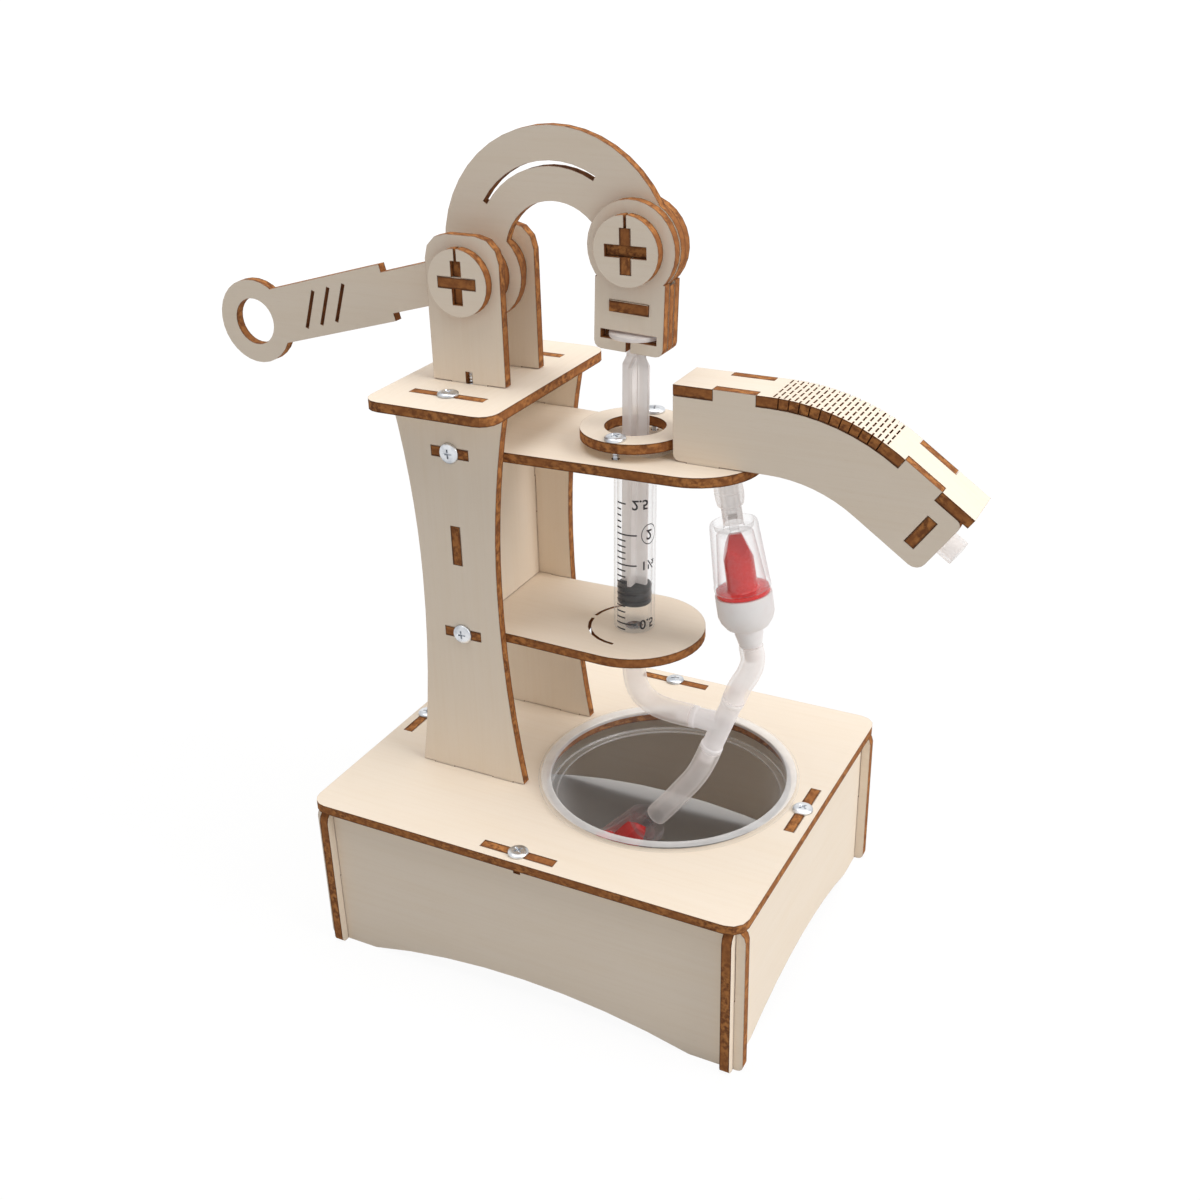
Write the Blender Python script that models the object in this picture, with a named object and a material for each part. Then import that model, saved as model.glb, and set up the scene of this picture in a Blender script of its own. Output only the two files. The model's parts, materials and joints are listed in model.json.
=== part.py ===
# Hand water pump model, laser cut from plywood, with a syringe as its cylinder.
# Kit frame: X runs along the base from its left edge, Y from front to back
# through the middle, Z up from the table. Moving pieces hang from empties on their axes.

import math

import bmesh
import bpy
from mathutils import Vector
from mathutils.geometry import delaunay_2d_cdt

mm = 0.001

# Sheet and fits
ply = 2.5 * mm
play = 0.15 * mm
seat = 0.2 * mm
arc_step = 12
corner_step = 30

# Base box
deck_width = 100 * mm
deck_right_margin = 6.8 * mm
deck_top = 44.6 * mm
deck_corner = 4.5 * mm
panel_inset = 2.5 * mm
panel_corner = 3 * mm
foot_length = 14 * mm
long_arch_rise = 6 * mm
short_arch_rise = 5 * mm
deck_tab_width = 20 * mm

# Wood screws and the plain slots that they bite into
screw_radius = 0.75 * mm
screw_length = 5.2 * mm
ring_screw_length = 8 * mm
screw_head_radius = 2.6 * mm
screw_head_height = 1.7 * mm
screw_play = 0.2 * mm

# Cup sunk in the deck
cup_tower_gap = 13.5 * mm
cup_mouth_radius = 30.8 * mm
cup_rim_width = 3.4 * mm
cup_taper = 5.3 * mm
cup_wall = 1.1 * mm
cup_bevel = 1.3 * mm
cup_rim_height = 1.2 * mm
cup_ledge_depth = 6 * mm
cup_floor_height = 3.4 * mm

# Tower
tower_x = 31.3 * mm
tower_outer_y = 20 * mm
tower_foot_half = 15.4 * mm
tower_waist_half = 10.8 * mm
tower_head_half = 15.4 * mm
tower_waist_height = 100 * mm
tower_top = 148.7 * mm
tower_foot_tab = 6 * mm
tower_foot_tab_spread = 9 * mm
head_tab_width = 20 * mm
head_length = 35 * mm
head_width = 59 * mm
head_corner = 4.5 * mm
shelf_tab_width = 10.2 * mm
cross_tab_low = 105.3 * mm
cross_tab_high = 115.5 * mm

# Shelves
upper_shelf_top = 136 * mm
lower_shelf_top = 87.3 * mm
shelf_left = 19 * mm
shelf_straight_end = 46 * mm
upper_shelf_end_x = 87 * mm
upper_shelf_end_radius = 15.4 * mm
lower_shelf_end_radius = 18 * mm
shelf_slit_radius = 11.3 * mm
shelf_slit_width = 0.8 * mm
shelf_slit_gap = 4
shelf_slit_start = 100
shelf_slit_end = 268

# Cheeks that carry the lever
cheek_width = 20 * mm
cheek_top = 184 * mm
cheek_corner = 6 * mm
cheek_tab_width = 10 * mm
pivot_x = 31.4 * mm
pivot_z = 173.5 * mm

# Cross axles
axle_width = 10 * mm
axle_step = 1 * mm
axle_bore_radius = 5.35 * mm
disk_radius = 8 * mm
disk_slit = 0.7 * mm

# Lever
hub_radius = 11 * mm
handle_length = 73 * mm
handle_slope = 15.2
handle_width = 14.3 * mm
handle_neck_width = 10.3 * mm
handle_neck_end = 28.5 * mm
ring_radius = 11 * mm
ring_hole_radius = 6.1 * mm
handle_slots = 3
handle_slot_first = 19.2 * mm
handle_slot_pitch = 5 * mm
handle_slot_length = 10.5 * mm
handle_slot_width = 1 * mm
handle_slot_lean = 33
link_pivot_x = 72.2 * mm
link_pivot_z = 183 * mm
arch_outer_radius = 29.8 * mm
arch_inner_radius = 13.3 * mm
arch_slit_width = 1.2 * mm
arch_slit_start = 61
arch_slit_end = 147

# Link that hangs from the lever and holds the plunger's flange
link_head_radius = 10.8 * mm
link_width = 17.3 * mm
link_length = 23.6 * mm
link_neck_drop = 7 * mm
link_corner = 1.8 * mm
link_lean = 2.6
flange_drop = 20 * mm
flange_slot_width = 14.1 * mm
flange_slot_height = 2.1 * mm
flange_lift = 0.07 * mm
link_slit = 1.2 * mm
link_head_clearing = 0.6 * mm
rod_passage = 7.4 * mm
key_width = 9.6 * mm
key_drop = 13.2 * mm
key_proud = 0.4 * mm

# Syringe, leaning slightly towards the link
rock_x = 69.7 * mm
rock_z = 86 * mm
syringe_lean = 1.3
barrel_radius = 5.2 * mm
barrel_bore = 4.4 * mm
barrel_floor = 0.8 * mm
nozzle_radius = 1.55 * mm
nozzle_bore = 0.8 * mm
nozzle_length = 9 * mm
barrel_seat = 0.35 * mm
barrel_flange_radius = 11.3 * mm
barrel_flange_half_width = 8.4 * mm
barrel_flange_thick = 1.1 * mm
barrel_flange_room = 0.55 * mm
shelf_bore_radius = 7.3 * mm
nozzle_hole_radius = 2.2 * mm
seal_radius = 4.25 * mm
seal_waist_radius = 3.8 * mm
seal_height = 5.3 * mm
seal_rise = 5.5 * mm
seal_lip = 1.3 * mm
rod_half = 3.35 * mm
rod_rib = 1.1 * mm
rod_neck_half = 2.5 * mm
rod_neck_depth_half = 1.15 * mm
rod_neck_length = 5 * mm
plunger_flange_radius = 6.3 * mm
plunger_flange_thick = 1.1 * mm
rod_peg_radius = 1.5 * mm
rod_peg_length = 2.5 * mm

# Ring that holds the syringe down
ring_plate_radius = 13.2 * mm
ring_plate_hole = 7.4 * mm
ring_screw_radius = 10.7 * mm

# Spout box on the upper shelf
spout_left = 83.6 * mm
spout_half_width = 6.75 * mm
spout_top = 154.4 * mm
spout_bend_start = 107 * mm
spout_bend_radius = 52.5 * mm
spout_slope = 35.5
spout_run = 18.5 * mm
spout_overhang = 1.1 * mm
outlet_offset = -1.2 * mm
spout_tab_start = 93.3 * mm
spout_tab_length = 10.2 * mm
spout_second_tab = 0.2 * mm
spout_foot_start = 87 * mm
spout_foot_length = 8 * mm
spout_corner = 1.6 * mm
spout_toe_corner = 2.6 * mm
brace_inset = 4.2 * mm
brace_tab = 8 * mm
brace_low = 1.2 * mm

# Hoses, tee and check valves, all in the middle plane
hose_radius = 3 * mm
hose_bore = 2.1 * mm
hose_sides = 12
hose_fit = 0.2 * mm
sleeve_overlap = 4 * mm
tee_radius = 2.7 * mm
tee_bore = 1.1 * mm
spigot_radius = 1.8 * mm
valve_foot = (101.2 * mm, 88.6 * mm)
valve_aim = (93.9 * mm, 133.4 * mm)
valve_stem_length = 5.4 * mm
valve_base_radius = 6.9 * mm
valve_base_length = 8.6 * mm
valve_body_length = 17 * mm
valve_body_top_radius = 5.8 * mm
valve_wall = 0.9 * mm
valve_neck_length = 4 * mm
barb_radius = 3.5 * mm
barb_length = 9 * mm
outlet_spigot_length = 7 * mm
valve_collar_radius = 3.6 * mm
valve_shoulder_radius = 5.2 * mm
valve_neck_radius = 2.35 * mm
core_radius = 3.9 * mm
core_flange = 0.9 * mm
inlet_base_length = 5 * mm
inlet_tip = (75.4 * mm, 31.0 * mm)
inlet_aim = (64.2 * mm, 17.6 * mm)

nozzle_hose_route = ((69.7, 84.3), (69.6, 78.5), (69.7, 72.5), (71.1, 68.4), (74.2, 65.9), (78.6, 64.8),
                     (85.7, 64.55))
riser_hose_route = ((97.1, 72.4), (98.6, 76.3), (100.7, 80.4), (101.8, 84.4), (101.23, 88.4))
inlet_hose_route = ((90.93, 56.2), (89.5, 52.4), (86.7, 46.6), (82.8, 40.9), (78.7, 35.2), (75.55, 31.2))
spout_hose_turn = ((-0.1, 0.6), (-0.5, 3.6), (0.9, 6.4), (5.5, 7.6))
spout_hose_steps = 3
spout_hose_run = (8 * mm, 14 * mm, 22.6 * mm)
tee_low = (91.0, 56.4)
tee_high = (97.0, 72.2)
tee_left = (85.9, 64.55)
tee_branch_share = 0.5

materials = {
    "ply": ((0.86, 0.72, 0.52), 0.6, 0.0, 1.0),
    "zinc": ((0.75, 0.76, 0.78), 0.3, 1.0, 1.0),
    "clear": ((0.88, 0.9, 0.9), 0.12, 0.0, 0.4),
    "milky": ((0.86, 0.84, 0.84), 0.3, 0.0, 0.8),
    "white": ((0.9, 0.87, 0.84), 0.4, 0.0, 1.0),
    "red": ((0.85, 0.04, 0.03), 0.3, 0.0, 1.0),
    "rubber": ((0.03, 0.03, 0.035), 0.5, 0.0, 1.0),
}


def material(key):
    if key in bpy.data.materials:
        return bpy.data.materials[key]
    colour, roughness, metallic, alpha = materials[key]
    made = bpy.data.materials.new(key)
    made.use_nodes = True
    shader = made.node_tree.nodes["Principled BSDF"]
    shader.inputs["Base Color"].default_value = (*colour, 1)
    shader.inputs["Roughness"].default_value = roughness
    shader.inputs["Metallic"].default_value = metallic
    shader.inputs["Alpha"].default_value = alpha
    return made


# Outlines in the plane of a sheet, all anticlockwise

def arc(centre_u, centre_v, radius, start, end, step=arc_step):
    count = max(2, math.ceil(abs(end - start) / step))
    angles = [math.radians(start + (end - start) * i / count) for i in range(count + 1)]
    return [(centre_u + radius * math.cos(a), centre_v + radius * math.sin(a)) for a in angles]


def circle(centre_u, centre_v, radius, step=arc_step):
    return arc(centre_u, centre_v, radius, 0, 360, step)[:-1]


def box(centre_u, centre_v, width, height):
    half_u, half_v = width / 2, height / 2
    return [(centre_u - half_u, centre_v - half_v), (centre_u + half_u, centre_v - half_v),
            (centre_u + half_u, centre_v + half_v), (centre_u - half_u, centre_v + half_v)]


def span(low_u, low_v, high_u, high_v):
    return box((low_u + high_u) / 2, (low_v + high_v) / 2, high_u - low_u, high_v - low_v)


def sector(centre_u, centre_v, inner, outer, start, end, step=arc_step):
    return arc(centre_u, centre_v, outer, start, end, step) + arc(centre_u, centre_v, inner, end, start, step)


def turned_outline(points, angle, centre):
    c, s = math.cos(math.radians(angle)), math.sin(math.radians(angle))
    return [(centre[0] + c * (u - centre[0]) - s * (v - centre[1]),
             centre[1] + s * (u - centre[0]) + c * (v - centre[1])) for u, v in points]


def rounded(points, radii):
    made = []
    for i, point in enumerate(points):
        radius = radii[i] if isinstance(radii, (list, tuple)) else radii
        here = Vector(point)
        if radius <= 0:
            made.append(tuple(here))
            continue
        before = (Vector(points[i - 1]) - here).normalized()
        after = (Vector(points[(i + 1) % len(points)]) - here).normalized()
        half = before.angle(after) / 2
        reach = radius / math.tan(half)
        centre = here + (before + after).normalized() * radius / math.sin(half)
        first = here + before * reach - centre
        last = here + after * reach - centre
        turn = math.atan2(first.cross(last), first.dot(last))
        count = max(2, math.ceil(abs(math.degrees(turn)) / corner_step))
        start = math.atan2(first.y, first.x)
        for j in range(count + 1):
            a = start + turn * j / count
            made.append((centre.x + radius * math.cos(a), centre.y + radius * math.sin(a)))
    return made


def arch_outline(start, end, rise):
    half = (end - start) / 2
    radius = (half * half + rise * rise) / (2 * rise)
    reach = math.degrees(math.asin(half / radius))
    middle = (start + end) / 2
    curve = arc(middle, rise - radius, radius, 90 - reach, 90 + reach, 4)
    return curve + [(start, -ply), (end, -ply)]


def cross_outline(centre, clearance):
    arm = axle_width + 2 * clearance
    width = ply + 2 * clearance
    return [box(*centre, arm, width), box(*centre, width, arm)]


# Joints between sheets: the tab rises from an edge, its screw goes into a slot in its middle

def tab_pair(centre_u, base_v, tip_v, width):
    inner = screw_radius + screw_play
    low, high = min(base_v, tip_v), max(base_v, tip_v)
    return [span(centre_u - width / 2, low, centre_u - inner, high),
            span(centre_u + inner, low, centre_u + width / 2, high)]


def screw_channel(centre_u, tip_v, inward):
    inner = screw_radius + screw_play
    end = tip_v + inward * (screw_length + screw_play)
    return span(centre_u - inner, min(tip_v, end), centre_u + inner, max(tip_v, end))


def screw_slot(centre_u, centre_v, width, along_v=False):
    long_side = width + 2 * play
    short_side = ply + 2 * play
    sides = (short_side, long_side) if along_v else (long_side, short_side)
    return [box(centre_u, centre_v, *sides), circle(centre_u, centre_v, screw_radius + screw_play)]


# Solids

def new_object(name, mesh, kind, parent=None):
    made = bpy.data.objects.new(name, mesh)
    bpy.context.collection.objects.link(made)
    made.parent = parent
    mesh.materials.append(material(kind))
    return made


def sheet_mesh(name, solids, holes, thickness):
    points, faces = [], []
    for outline in solids + holes:
        faces.append(list(range(len(points), len(points) + len(outline))))
        points.extend(Vector(point) for point in outline)
    corners, _, cells, _, _, owners = delaunay_2d_cdt(points, [], faces, 0, mm / 2000)
    bm = bmesh.new()
    verts = [bm.verts.new((*corner, 0)) for corner in corners]
    for cell, owner in zip(cells, owners):
        if owner and max(owner) < len(solids):
            bm.faces.new([verts[i] for i in cell])
    loose = [vert for vert in bm.verts if not vert.link_faces]
    bmesh.ops.delete(bm, geom=loose, context="VERTS")
    bmesh.ops.dissolve_limit(bm, angle_limit=math.radians(0.2), verts=bm.verts, edges=bm.edges)
    bmesh.ops.triangulate(bm, faces=bm.faces)
    grown = bmesh.ops.extrude_face_region(bm, geom=bm.faces[:])
    lifted = [part for part in grown["geom"] if isinstance(part, bmesh.types.BMVert)]
    bmesh.ops.translate(bm, verts=lifted, vec=(0, 0, thickness))
    bmesh.ops.recalc_face_normals(bm, faces=bm.faces)
    mesh = bpy.data.meshes.new(name)
    bm.to_mesh(mesh)
    bm.free()
    return mesh


# A sheet facing "front" has X and Z as its outline and grows towards -Y from its place,
# one facing "side" has Y and Z and grows towards +X, and one facing "up" has X and Y.
facings = {
    "up": (0, 0, 0),
    "front": (math.radians(90), 0, 0),
    "side": (math.radians(90), 0, math.radians(90)),
}


def sheet(name, facing, place, solids, holes, parent, thickness=ply, kind="ply"):
    made = new_object(name, sheet_mesh(name, solids, holes, thickness), kind, parent)
    made.rotation_euler = facings[facing]
    axis = {"up": 2, "front": 1, "side": 0}[facing]
    made.location[axis] = place
    return made


def turned(name, profile, kind, parent, sides=24):
    bm = bmesh.new()
    verts = [bm.verts.new((radius, 0, height)) for radius, height in profile]
    edges = [bm.edges.new(pair) for pair in zip(verts, verts[1:])]
    if profile[0][0] > 0:
        edges.append(bm.edges.new((verts[-1], verts[0])))
    bmesh.ops.spin(bm, geom=verts + edges, cent=(0, 0, 0), axis=(0, 0, 1), angle=2 * math.pi,
                   steps=sides, use_merge=True)
    bmesh.ops.remove_doubles(bm, verts=bm.verts, dist=mm / 1000)
    bmesh.ops.recalc_face_normals(bm, faces=bm.faces)
    mesh = bpy.data.meshes.new(name)
    bm.to_mesh(mesh)
    bm.free()
    mesh.shade_smooth()
    mesh.set_sharp_from_angle(angle=math.radians(35))
    return new_object(name, mesh, kind, parent)


def aim(made, foot, target):
    direction = Vector((target[0] - foot[0], 0, target[1] - foot[1]))
    made.location = (foot[0], 0, foot[1])
    made.rotation_euler = direction.to_track_quat("Z", "Y").to_euler()
    return made


def smooth_route(points, step_count):
    points = [Vector((x, 0, z)) for x, z in points]
    padded = [2 * points[0] - points[1]] + points + [2 * points[-1] - points[-2]]
    fine = []
    for i in range(1, len(padded) - 2):
        a, b, c, d = padded[i - 1:i + 3]
        for j in range(step_count):
            t = j / step_count
            fine.append(0.5 * ((2 * b) + (c - a) * t + (2 * a - 5 * b + 4 * c - d) * t ** 2
                               + (3 * b - 3 * c + d - a) * t ** 3))
    return fine + [points[-1]]


def in_mm(points, from_x=0.0, from_z=0.0):
    return [(from_x + x * mm, from_z + z * mm) for x, z in points]


def hose(name, route, parent, step_count=2):
    line = smooth_route(route, step_count)
    across = Vector((0, 1, 0))
    bm = bmesh.new()
    outer, inner = [], []
    for i, point in enumerate(line):
        ahead = (line[min(i + 1, len(line) - 1)] - line[max(i - 1, 0)]).normalized()
        side = ahead.cross(across)
        for rings, radius in ((outer, hose_radius), (inner, hose_bore)):
            ring = []
            for j in range(hose_sides):
                a = 2 * math.pi * j / hose_sides
                ring.append(bm.verts.new(point + radius * (math.cos(a) * side + math.sin(a) * across)))
            rings.append(ring)
    for rings in (outer, inner):
        for first, second in zip(rings, rings[1:]):
            for j in range(hose_sides):
                k = (j + 1) % hose_sides
                bm.faces.new((first[j], first[k], second[k], second[j]))
    for end in (0, -1):
        for j in range(hose_sides):
            k = (j + 1) % hose_sides
            bm.faces.new((outer[end][j], outer[end][k], inner[end][k], inner[end][j]))
    bmesh.ops.recalc_face_normals(bm, faces=bm.faces)
    mesh = bpy.data.meshes.new(name)
    bm.to_mesh(mesh)
    bm.free()
    mesh.shade_smooth()
    mesh.set_sharp_from_angle(angle=math.radians(50))
    return new_object(name, mesh, "milky", parent)


def combine(target, tool, operation):
    tool.name = target.name + "_" + tool.name
    tool.hide_render = True
    tool.display_type = "WIRE"
    change = target.modifiers.new(tool.name, "BOOLEAN")
    change.operation = operation
    change.solver = "EXACT"
    change.object = tool


def axis_empty(name, x, z, parent, lean=0.0):
    made = bpy.data.objects.new(name, None)
    bpy.context.collection.objects.link(made)
    made.parent = parent
    made.location = (x, 0, z)
    made.rotation_euler = (0, math.radians(lean), 0)
    made.empty_display_size = 5 * mm
    return made


def screw(name, place, direction, parent, length=screw_length):
    head = screw_head_radius
    profile = [(0, -length), (screw_radius, -length), (screw_radius, seat), (head, seat),
               (head, seat + screw_head_height * 0.4), (head * 0.8, seat + screw_head_height * 0.85),
               (head * 0.4, seat + screw_head_height), (0, seat + screw_head_height)]
    made = turned(name, profile, "zinc", parent, 12)
    made.location = place
    made.rotation_euler = Vector(direction).to_track_quat("Z", "Y").to_euler()
    return made


# Places, heights and layers that follow from the driving sizes
cup_rim_radius = cup_mouth_radius + cup_rim_width
cup_floor_radius = cup_mouth_radius - cup_taper
cup_x = tower_x + cup_tower_gap + cup_rim_radius
deck_length = cup_x + cup_rim_radius + deck_right_margin
deck_under = deck_top - ply
panel_top = deck_under - seat
panel_layer = deck_width / 2 - panel_inset
half_lap = panel_top / 2
tower_inner = tower_outer_y - ply
tower_head_under = tower_top - ply
cup_hole_radius = cup_mouth_radius + cup_wall + seat
spacer_layer = ply / 2 + seat
spacer_outer_layer = spacer_layer + ply + seat
cheek_layer = spacer_outer_layer + ply + seat
lever_cap_layer = cheek_layer + ply + seat
link_layer = ply / 2 + seat
link_cap_layer = link_layer + ply + seat
lever_axle_half = lever_cap_layer + ply
link_axle_half = link_cap_layer + ply
shelf_reach = tower_inner - seat
ring_plate_under = upper_shelf_top + 2 * barrel_flange_room + barrel_flange_thick
pivot = (pivot_x, pivot_z)
left_reach = pivot_x - handle_length * math.cos(math.radians(handle_slope)) - ring_radius


# Base box

def long_panel(name, back, parent):
    start, end = foot_length, deck_length - foot_length
    middle = deck_length / 2
    corners = [panel_corner / 2, panel_corner / 2, panel_corner, panel_corner]
    body = rounded(span(0, 0, deck_length, panel_top), corners)
    solids = [body] + tab_pair(middle, panel_top - ply, deck_top, deck_tab_width)
    holes = [arch_outline(start, end, long_arch_rise), screw_channel(middle, deck_top, -1)]
    for lap in (panel_inset + ply / 2, deck_length - panel_inset - ply / 2):
        holes.append(span(lap - ply / 2 - play, half_lap, lap + ply / 2 + play, deck_top))
    return sheet(name, "front", back, solids, holes, parent)


def short_panel(name, left, parent):
    half = deck_width / 2
    corners = [panel_corner / 2, panel_corner / 2, panel_corner, panel_corner]
    body = rounded(span(-half, 0, half, panel_top), corners)
    solids = [body] + tab_pair(0, panel_top - ply, deck_top, deck_tab_width)
    holes = [arch_outline(foot_length - half, half - foot_length, short_arch_rise)]
    holes.append(screw_channel(0, deck_top, -1))
    for lap in (panel_layer - ply / 2, ply / 2 - panel_layer):
        holes.append(span(lap - ply / 2 - play, -ply, lap + ply / 2 + play, half_lap + seat))
    return sheet(name, "side", left, solids, holes, parent)


def base_deck(parent):
    middle = deck_length / 2
    edge = panel_inset + ply / 2
    body = rounded(span(0, -deck_width / 2, deck_length, deck_width / 2), deck_corner)
    holes = [circle(cup_x, 0, cup_hole_radius, 7.5)]
    for side in (-1, 1):
        holes += screw_slot(middle, side * (panel_layer - ply / 2), deck_tab_width)
        for end in (-1, 1):
            foot = tower_x + end * tower_foot_tab_spread
            holes.append(box(foot, side * (tower_outer_y - ply / 2), tower_foot_tab + 2 * play, ply + 2 * play))
    for across in (edge, deck_length - edge):
        holes += screw_slot(across, 0, deck_tab_width, along_v=True)
    return sheet("base_deck", "up", deck_under, [body], holes, parent)


def cup(parent):
    rim_under = deck_top + seat
    rim_top = rim_under + cup_rim_height
    ledge = rim_top - cup_ledge_depth
    outer = cup_mouth_radius + cup_wall
    floor_outer = cup_floor_radius + cup_wall
    step = cup_bevel
    profile = [
        (0, cup_floor_height - cup_wall), (floor_outer - step, cup_floor_height - cup_wall),
        (floor_outer, cup_floor_height), (outer - step, ledge - cup_wall), (outer, ledge),
        (outer, rim_under), (cup_rim_radius, rim_under), (cup_rim_radius, rim_top),
        (cup_mouth_radius, rim_top), (cup_mouth_radius, ledge),
        (cup_mouth_radius - step, ledge), (cup_floor_radius, cup_floor_height + cup_wall / 2),
        (cup_floor_radius - step, cup_floor_height), (0, cup_floor_height),
    ]
    made = turned("cup", profile, "clear", parent, 40)
    made.location = (cup_x, 0, 0)
    return made


def base(parent):
    base_deck(parent)
    long_panel("base_front_panel", ply - panel_layer, parent)
    long_panel("base_rear_panel", panel_layer, parent)
    short_panel("base_left_panel", panel_inset, parent)
    short_panel("base_right_panel", deck_length - panel_inset - ply, parent)
    cup(parent)
    edge = panel_inset + ply / 2
    places = {
        "front": (deck_length / 2, ply / 2 - panel_layer),
        "rear": (deck_length / 2, panel_layer - ply / 2),
        "left": (edge, 0),
        "right": (deck_length - edge, 0),
    }
    for side, (x, y) in places.items():
        screw("base_screw_" + side, (x, y, deck_top), (0, 0, 1), parent)


# Tower

def tower_outline():
    waist = tower_waist_height
    top = tower_head_under - seat
    foot = deck_top + seat

    def side_arc(reach, flare):
        return (reach * reach + flare * flare) / (2 * flare)

    low_radius = side_arc(waist - foot, tower_foot_half - tower_waist_half)
    high_radius = side_arc(top - waist, tower_head_half - tower_waist_half)
    right = []
    for i in range(7):
        z = foot + (waist - foot) * i / 6
        right.append((tower_waist_half + low_radius - math.sqrt(low_radius ** 2 - (waist - z) ** 2), z))
    for i in range(1, 8):
        z = waist + (top - waist) * i / 7
        right.append((tower_waist_half + high_radius - math.sqrt(high_radius ** 2 - (z - waist) ** 2), z))
    left = [(tower_x - half, z) for half, z in reversed(right)]
    return [(tower_x + half, z) for half, z in right] + left


def tower_plate(name, back, parent):
    top = tower_head_under - seat
    solids = [tower_outline()] + tab_pair(tower_x, top - ply, tower_top, head_tab_width)
    for end in (-1, 1):
        foot = tower_x + end * tower_foot_tab_spread
        solids.append(span(foot - tower_foot_tab / 2, deck_under, foot + tower_foot_tab / 2, deck_top + ply))
    holes = [screw_channel(tower_x, tower_top, -1)]
    for shelf_top in (upper_shelf_top, lower_shelf_top):
        holes += screw_slot(tower_x, shelf_top - ply / 2, shelf_tab_width)
    half = ply / 2 + play
    holes.append(span(tower_x - half, cross_tab_low - play, tower_x + half, cross_tab_high + play))
    return sheet(name, "front", back, solids, holes, parent)


def cross_panel(parent):
    low = lower_shelf_top + seat
    high = upper_shelf_top - ply - seat
    body = span(-shelf_reach, low, shelf_reach, high)
    tab = span(-tower_outer_y, cross_tab_low, tower_outer_y, cross_tab_high)
    return sheet("tower_cross_panel", "side", tower_x - ply / 2, [body, tab], [], parent)


def tower_head(parent):
    left = tower_x - head_length / 2
    body = rounded(span(left, -head_width / 2, left + head_length, head_width / 2), head_corner)
    holes = []
    for side in (-1, 1):
        holes += screw_slot(tower_x, side * (tower_outer_y - ply / 2), head_tab_width)
        holes += screw_slot(pivot_x, side * (cheek_layer + ply / 2), cheek_tab_width)
    return sheet("tower_head", "up", tower_head_under, [body], holes, parent)


def shelf(name, top, end_x, end_radius, holes, parent):
    wide = shelf_reach
    start = (shelf_straight_end, wide)
    away = Vector((end_x - start[0], -start[1]))
    turn = math.degrees(math.acos(min(1, end_radius / away.length)))
    touch = 180 - math.degrees(math.atan2(-away.y, away.x)) - turn
    nose = arc(end_x, 0, end_radius, -touch, touch, 8)
    body = [(shelf_left, -wide), (shelf_straight_end, -wide)] + nose
    body += [(shelf_straight_end, wide), (shelf_left, wide)]
    solids = [body]
    for side in (-1, 1):
        solids += tab_pair(tower_x, side * (wide - ply), side * tower_outer_y, shelf_tab_width)
        holes = holes + [screw_channel(tower_x, side * tower_outer_y, -side)]
    return sheet(name, "up", top - ply, solids, holes, parent)


def shelves(parent):
    foot_holes = []
    for side in (-1, 1):
        y = side * (spout_half_width - ply / 2)
        foot_middle = spout_foot_start + spout_foot_length / 2
        foot_holes.append(box(foot_middle, y, spout_foot_length + 2 * play, ply + 2 * play))
        foot_holes.append(circle(ring_x(), side * ring_screw_radius, screw_radius + screw_play))
    barb_x = valve_point(upper_shelf_top - ply / 2)
    upper_holes = [circle(rock_x, 0, shelf_bore_radius), circle(barb_x, 0, barb_radius)] + foot_holes
    shelf("upper_shelf", upper_shelf_top, upper_shelf_end_x, upper_shelf_end_radius, upper_holes, parent)
    inner = shelf_slit_radius - shelf_slit_width / 2
    outer = shelf_slit_radius + shelf_slit_width / 2
    slits = [sector(rock_x, 0, inner, outer, shelf_slit_start, 180 - shelf_slit_gap),
             sector(rock_x, 0, inner, outer, 180 + shelf_slit_gap, shelf_slit_end)]
    lower_holes = slits + [circle(rock_x, 0, nozzle_hole_radius, 20)]
    shelf("lower_shelf", lower_shelf_top, rock_x, lower_shelf_end_radius, lower_holes, parent)


def ring_x():
    return rock_x + (upper_shelf_top - rock_z) * math.tan(math.radians(syringe_lean))


def valve_point(z):
    share = (z - valve_foot[1]) / (valve_aim[1] - valve_foot[1])
    return valve_foot[0] + share * (valve_aim[0] - valve_foot[0])


def ring_plate(parent):
    plate = circle(ring_x(), 0, ring_plate_radius, 8)
    holes = [circle(ring_x(), 0, ring_plate_hole)]
    for side, label in ((-1, "front"), (1, "rear")):
        y = side * ring_screw_radius
        holes.append(circle(ring_x(), y, screw_radius + screw_play))
        place = (ring_x(), y, ring_plate_under + ply)
        screw("ring_screw_" + label, place, (0, 0, 1), parent, ring_screw_length)
    sheet("ring_plate", "up", ring_plate_under, [plate], holes, parent)


def cheek(name, back, parent):
    left, right = pivot_x - cheek_width / 2, pivot_x + cheek_width / 2
    body = rounded(span(left, tower_top + seat, right, cheek_top), [0, 0, cheek_corner, cheek_corner])
    solids = [body] + tab_pair(pivot_x, tower_top + ply, tower_head_under, cheek_tab_width)
    holes = [circle(*pivot, axle_bore_radius, 15), screw_channel(pivot_x, tower_head_under, 1)]
    return sheet(name, "front", back, solids, holes, parent)


def tower(parent):
    tower_plate("tower_front_plate", -tower_inner, parent)
    tower_plate("tower_rear_plate", tower_outer_y, parent)
    cross_panel(parent)
    tower_head(parent)
    shelves(parent)
    ring_plate(parent)
    cheek("front_cheek", -cheek_layer, parent)
    cheek("rear_cheek", cheek_layer + ply, parent)
    for side, label in ((-1, "front"), (1, "rear")):
        layer = side * (tower_outer_y - ply / 2)
        screw("head_screw_" + label, (tower_x, layer, tower_top), (0, 0, 1), parent)
    for label, shelf_top in (("upper", upper_shelf_top), ("lower", lower_shelf_top)):
        place = (tower_x, -tower_outer_y, shelf_top - ply / 2)
        screw("shelf_screw_" + label, place, (0, -1, 0), parent)


# Cross axle, caps and spacers

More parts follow.
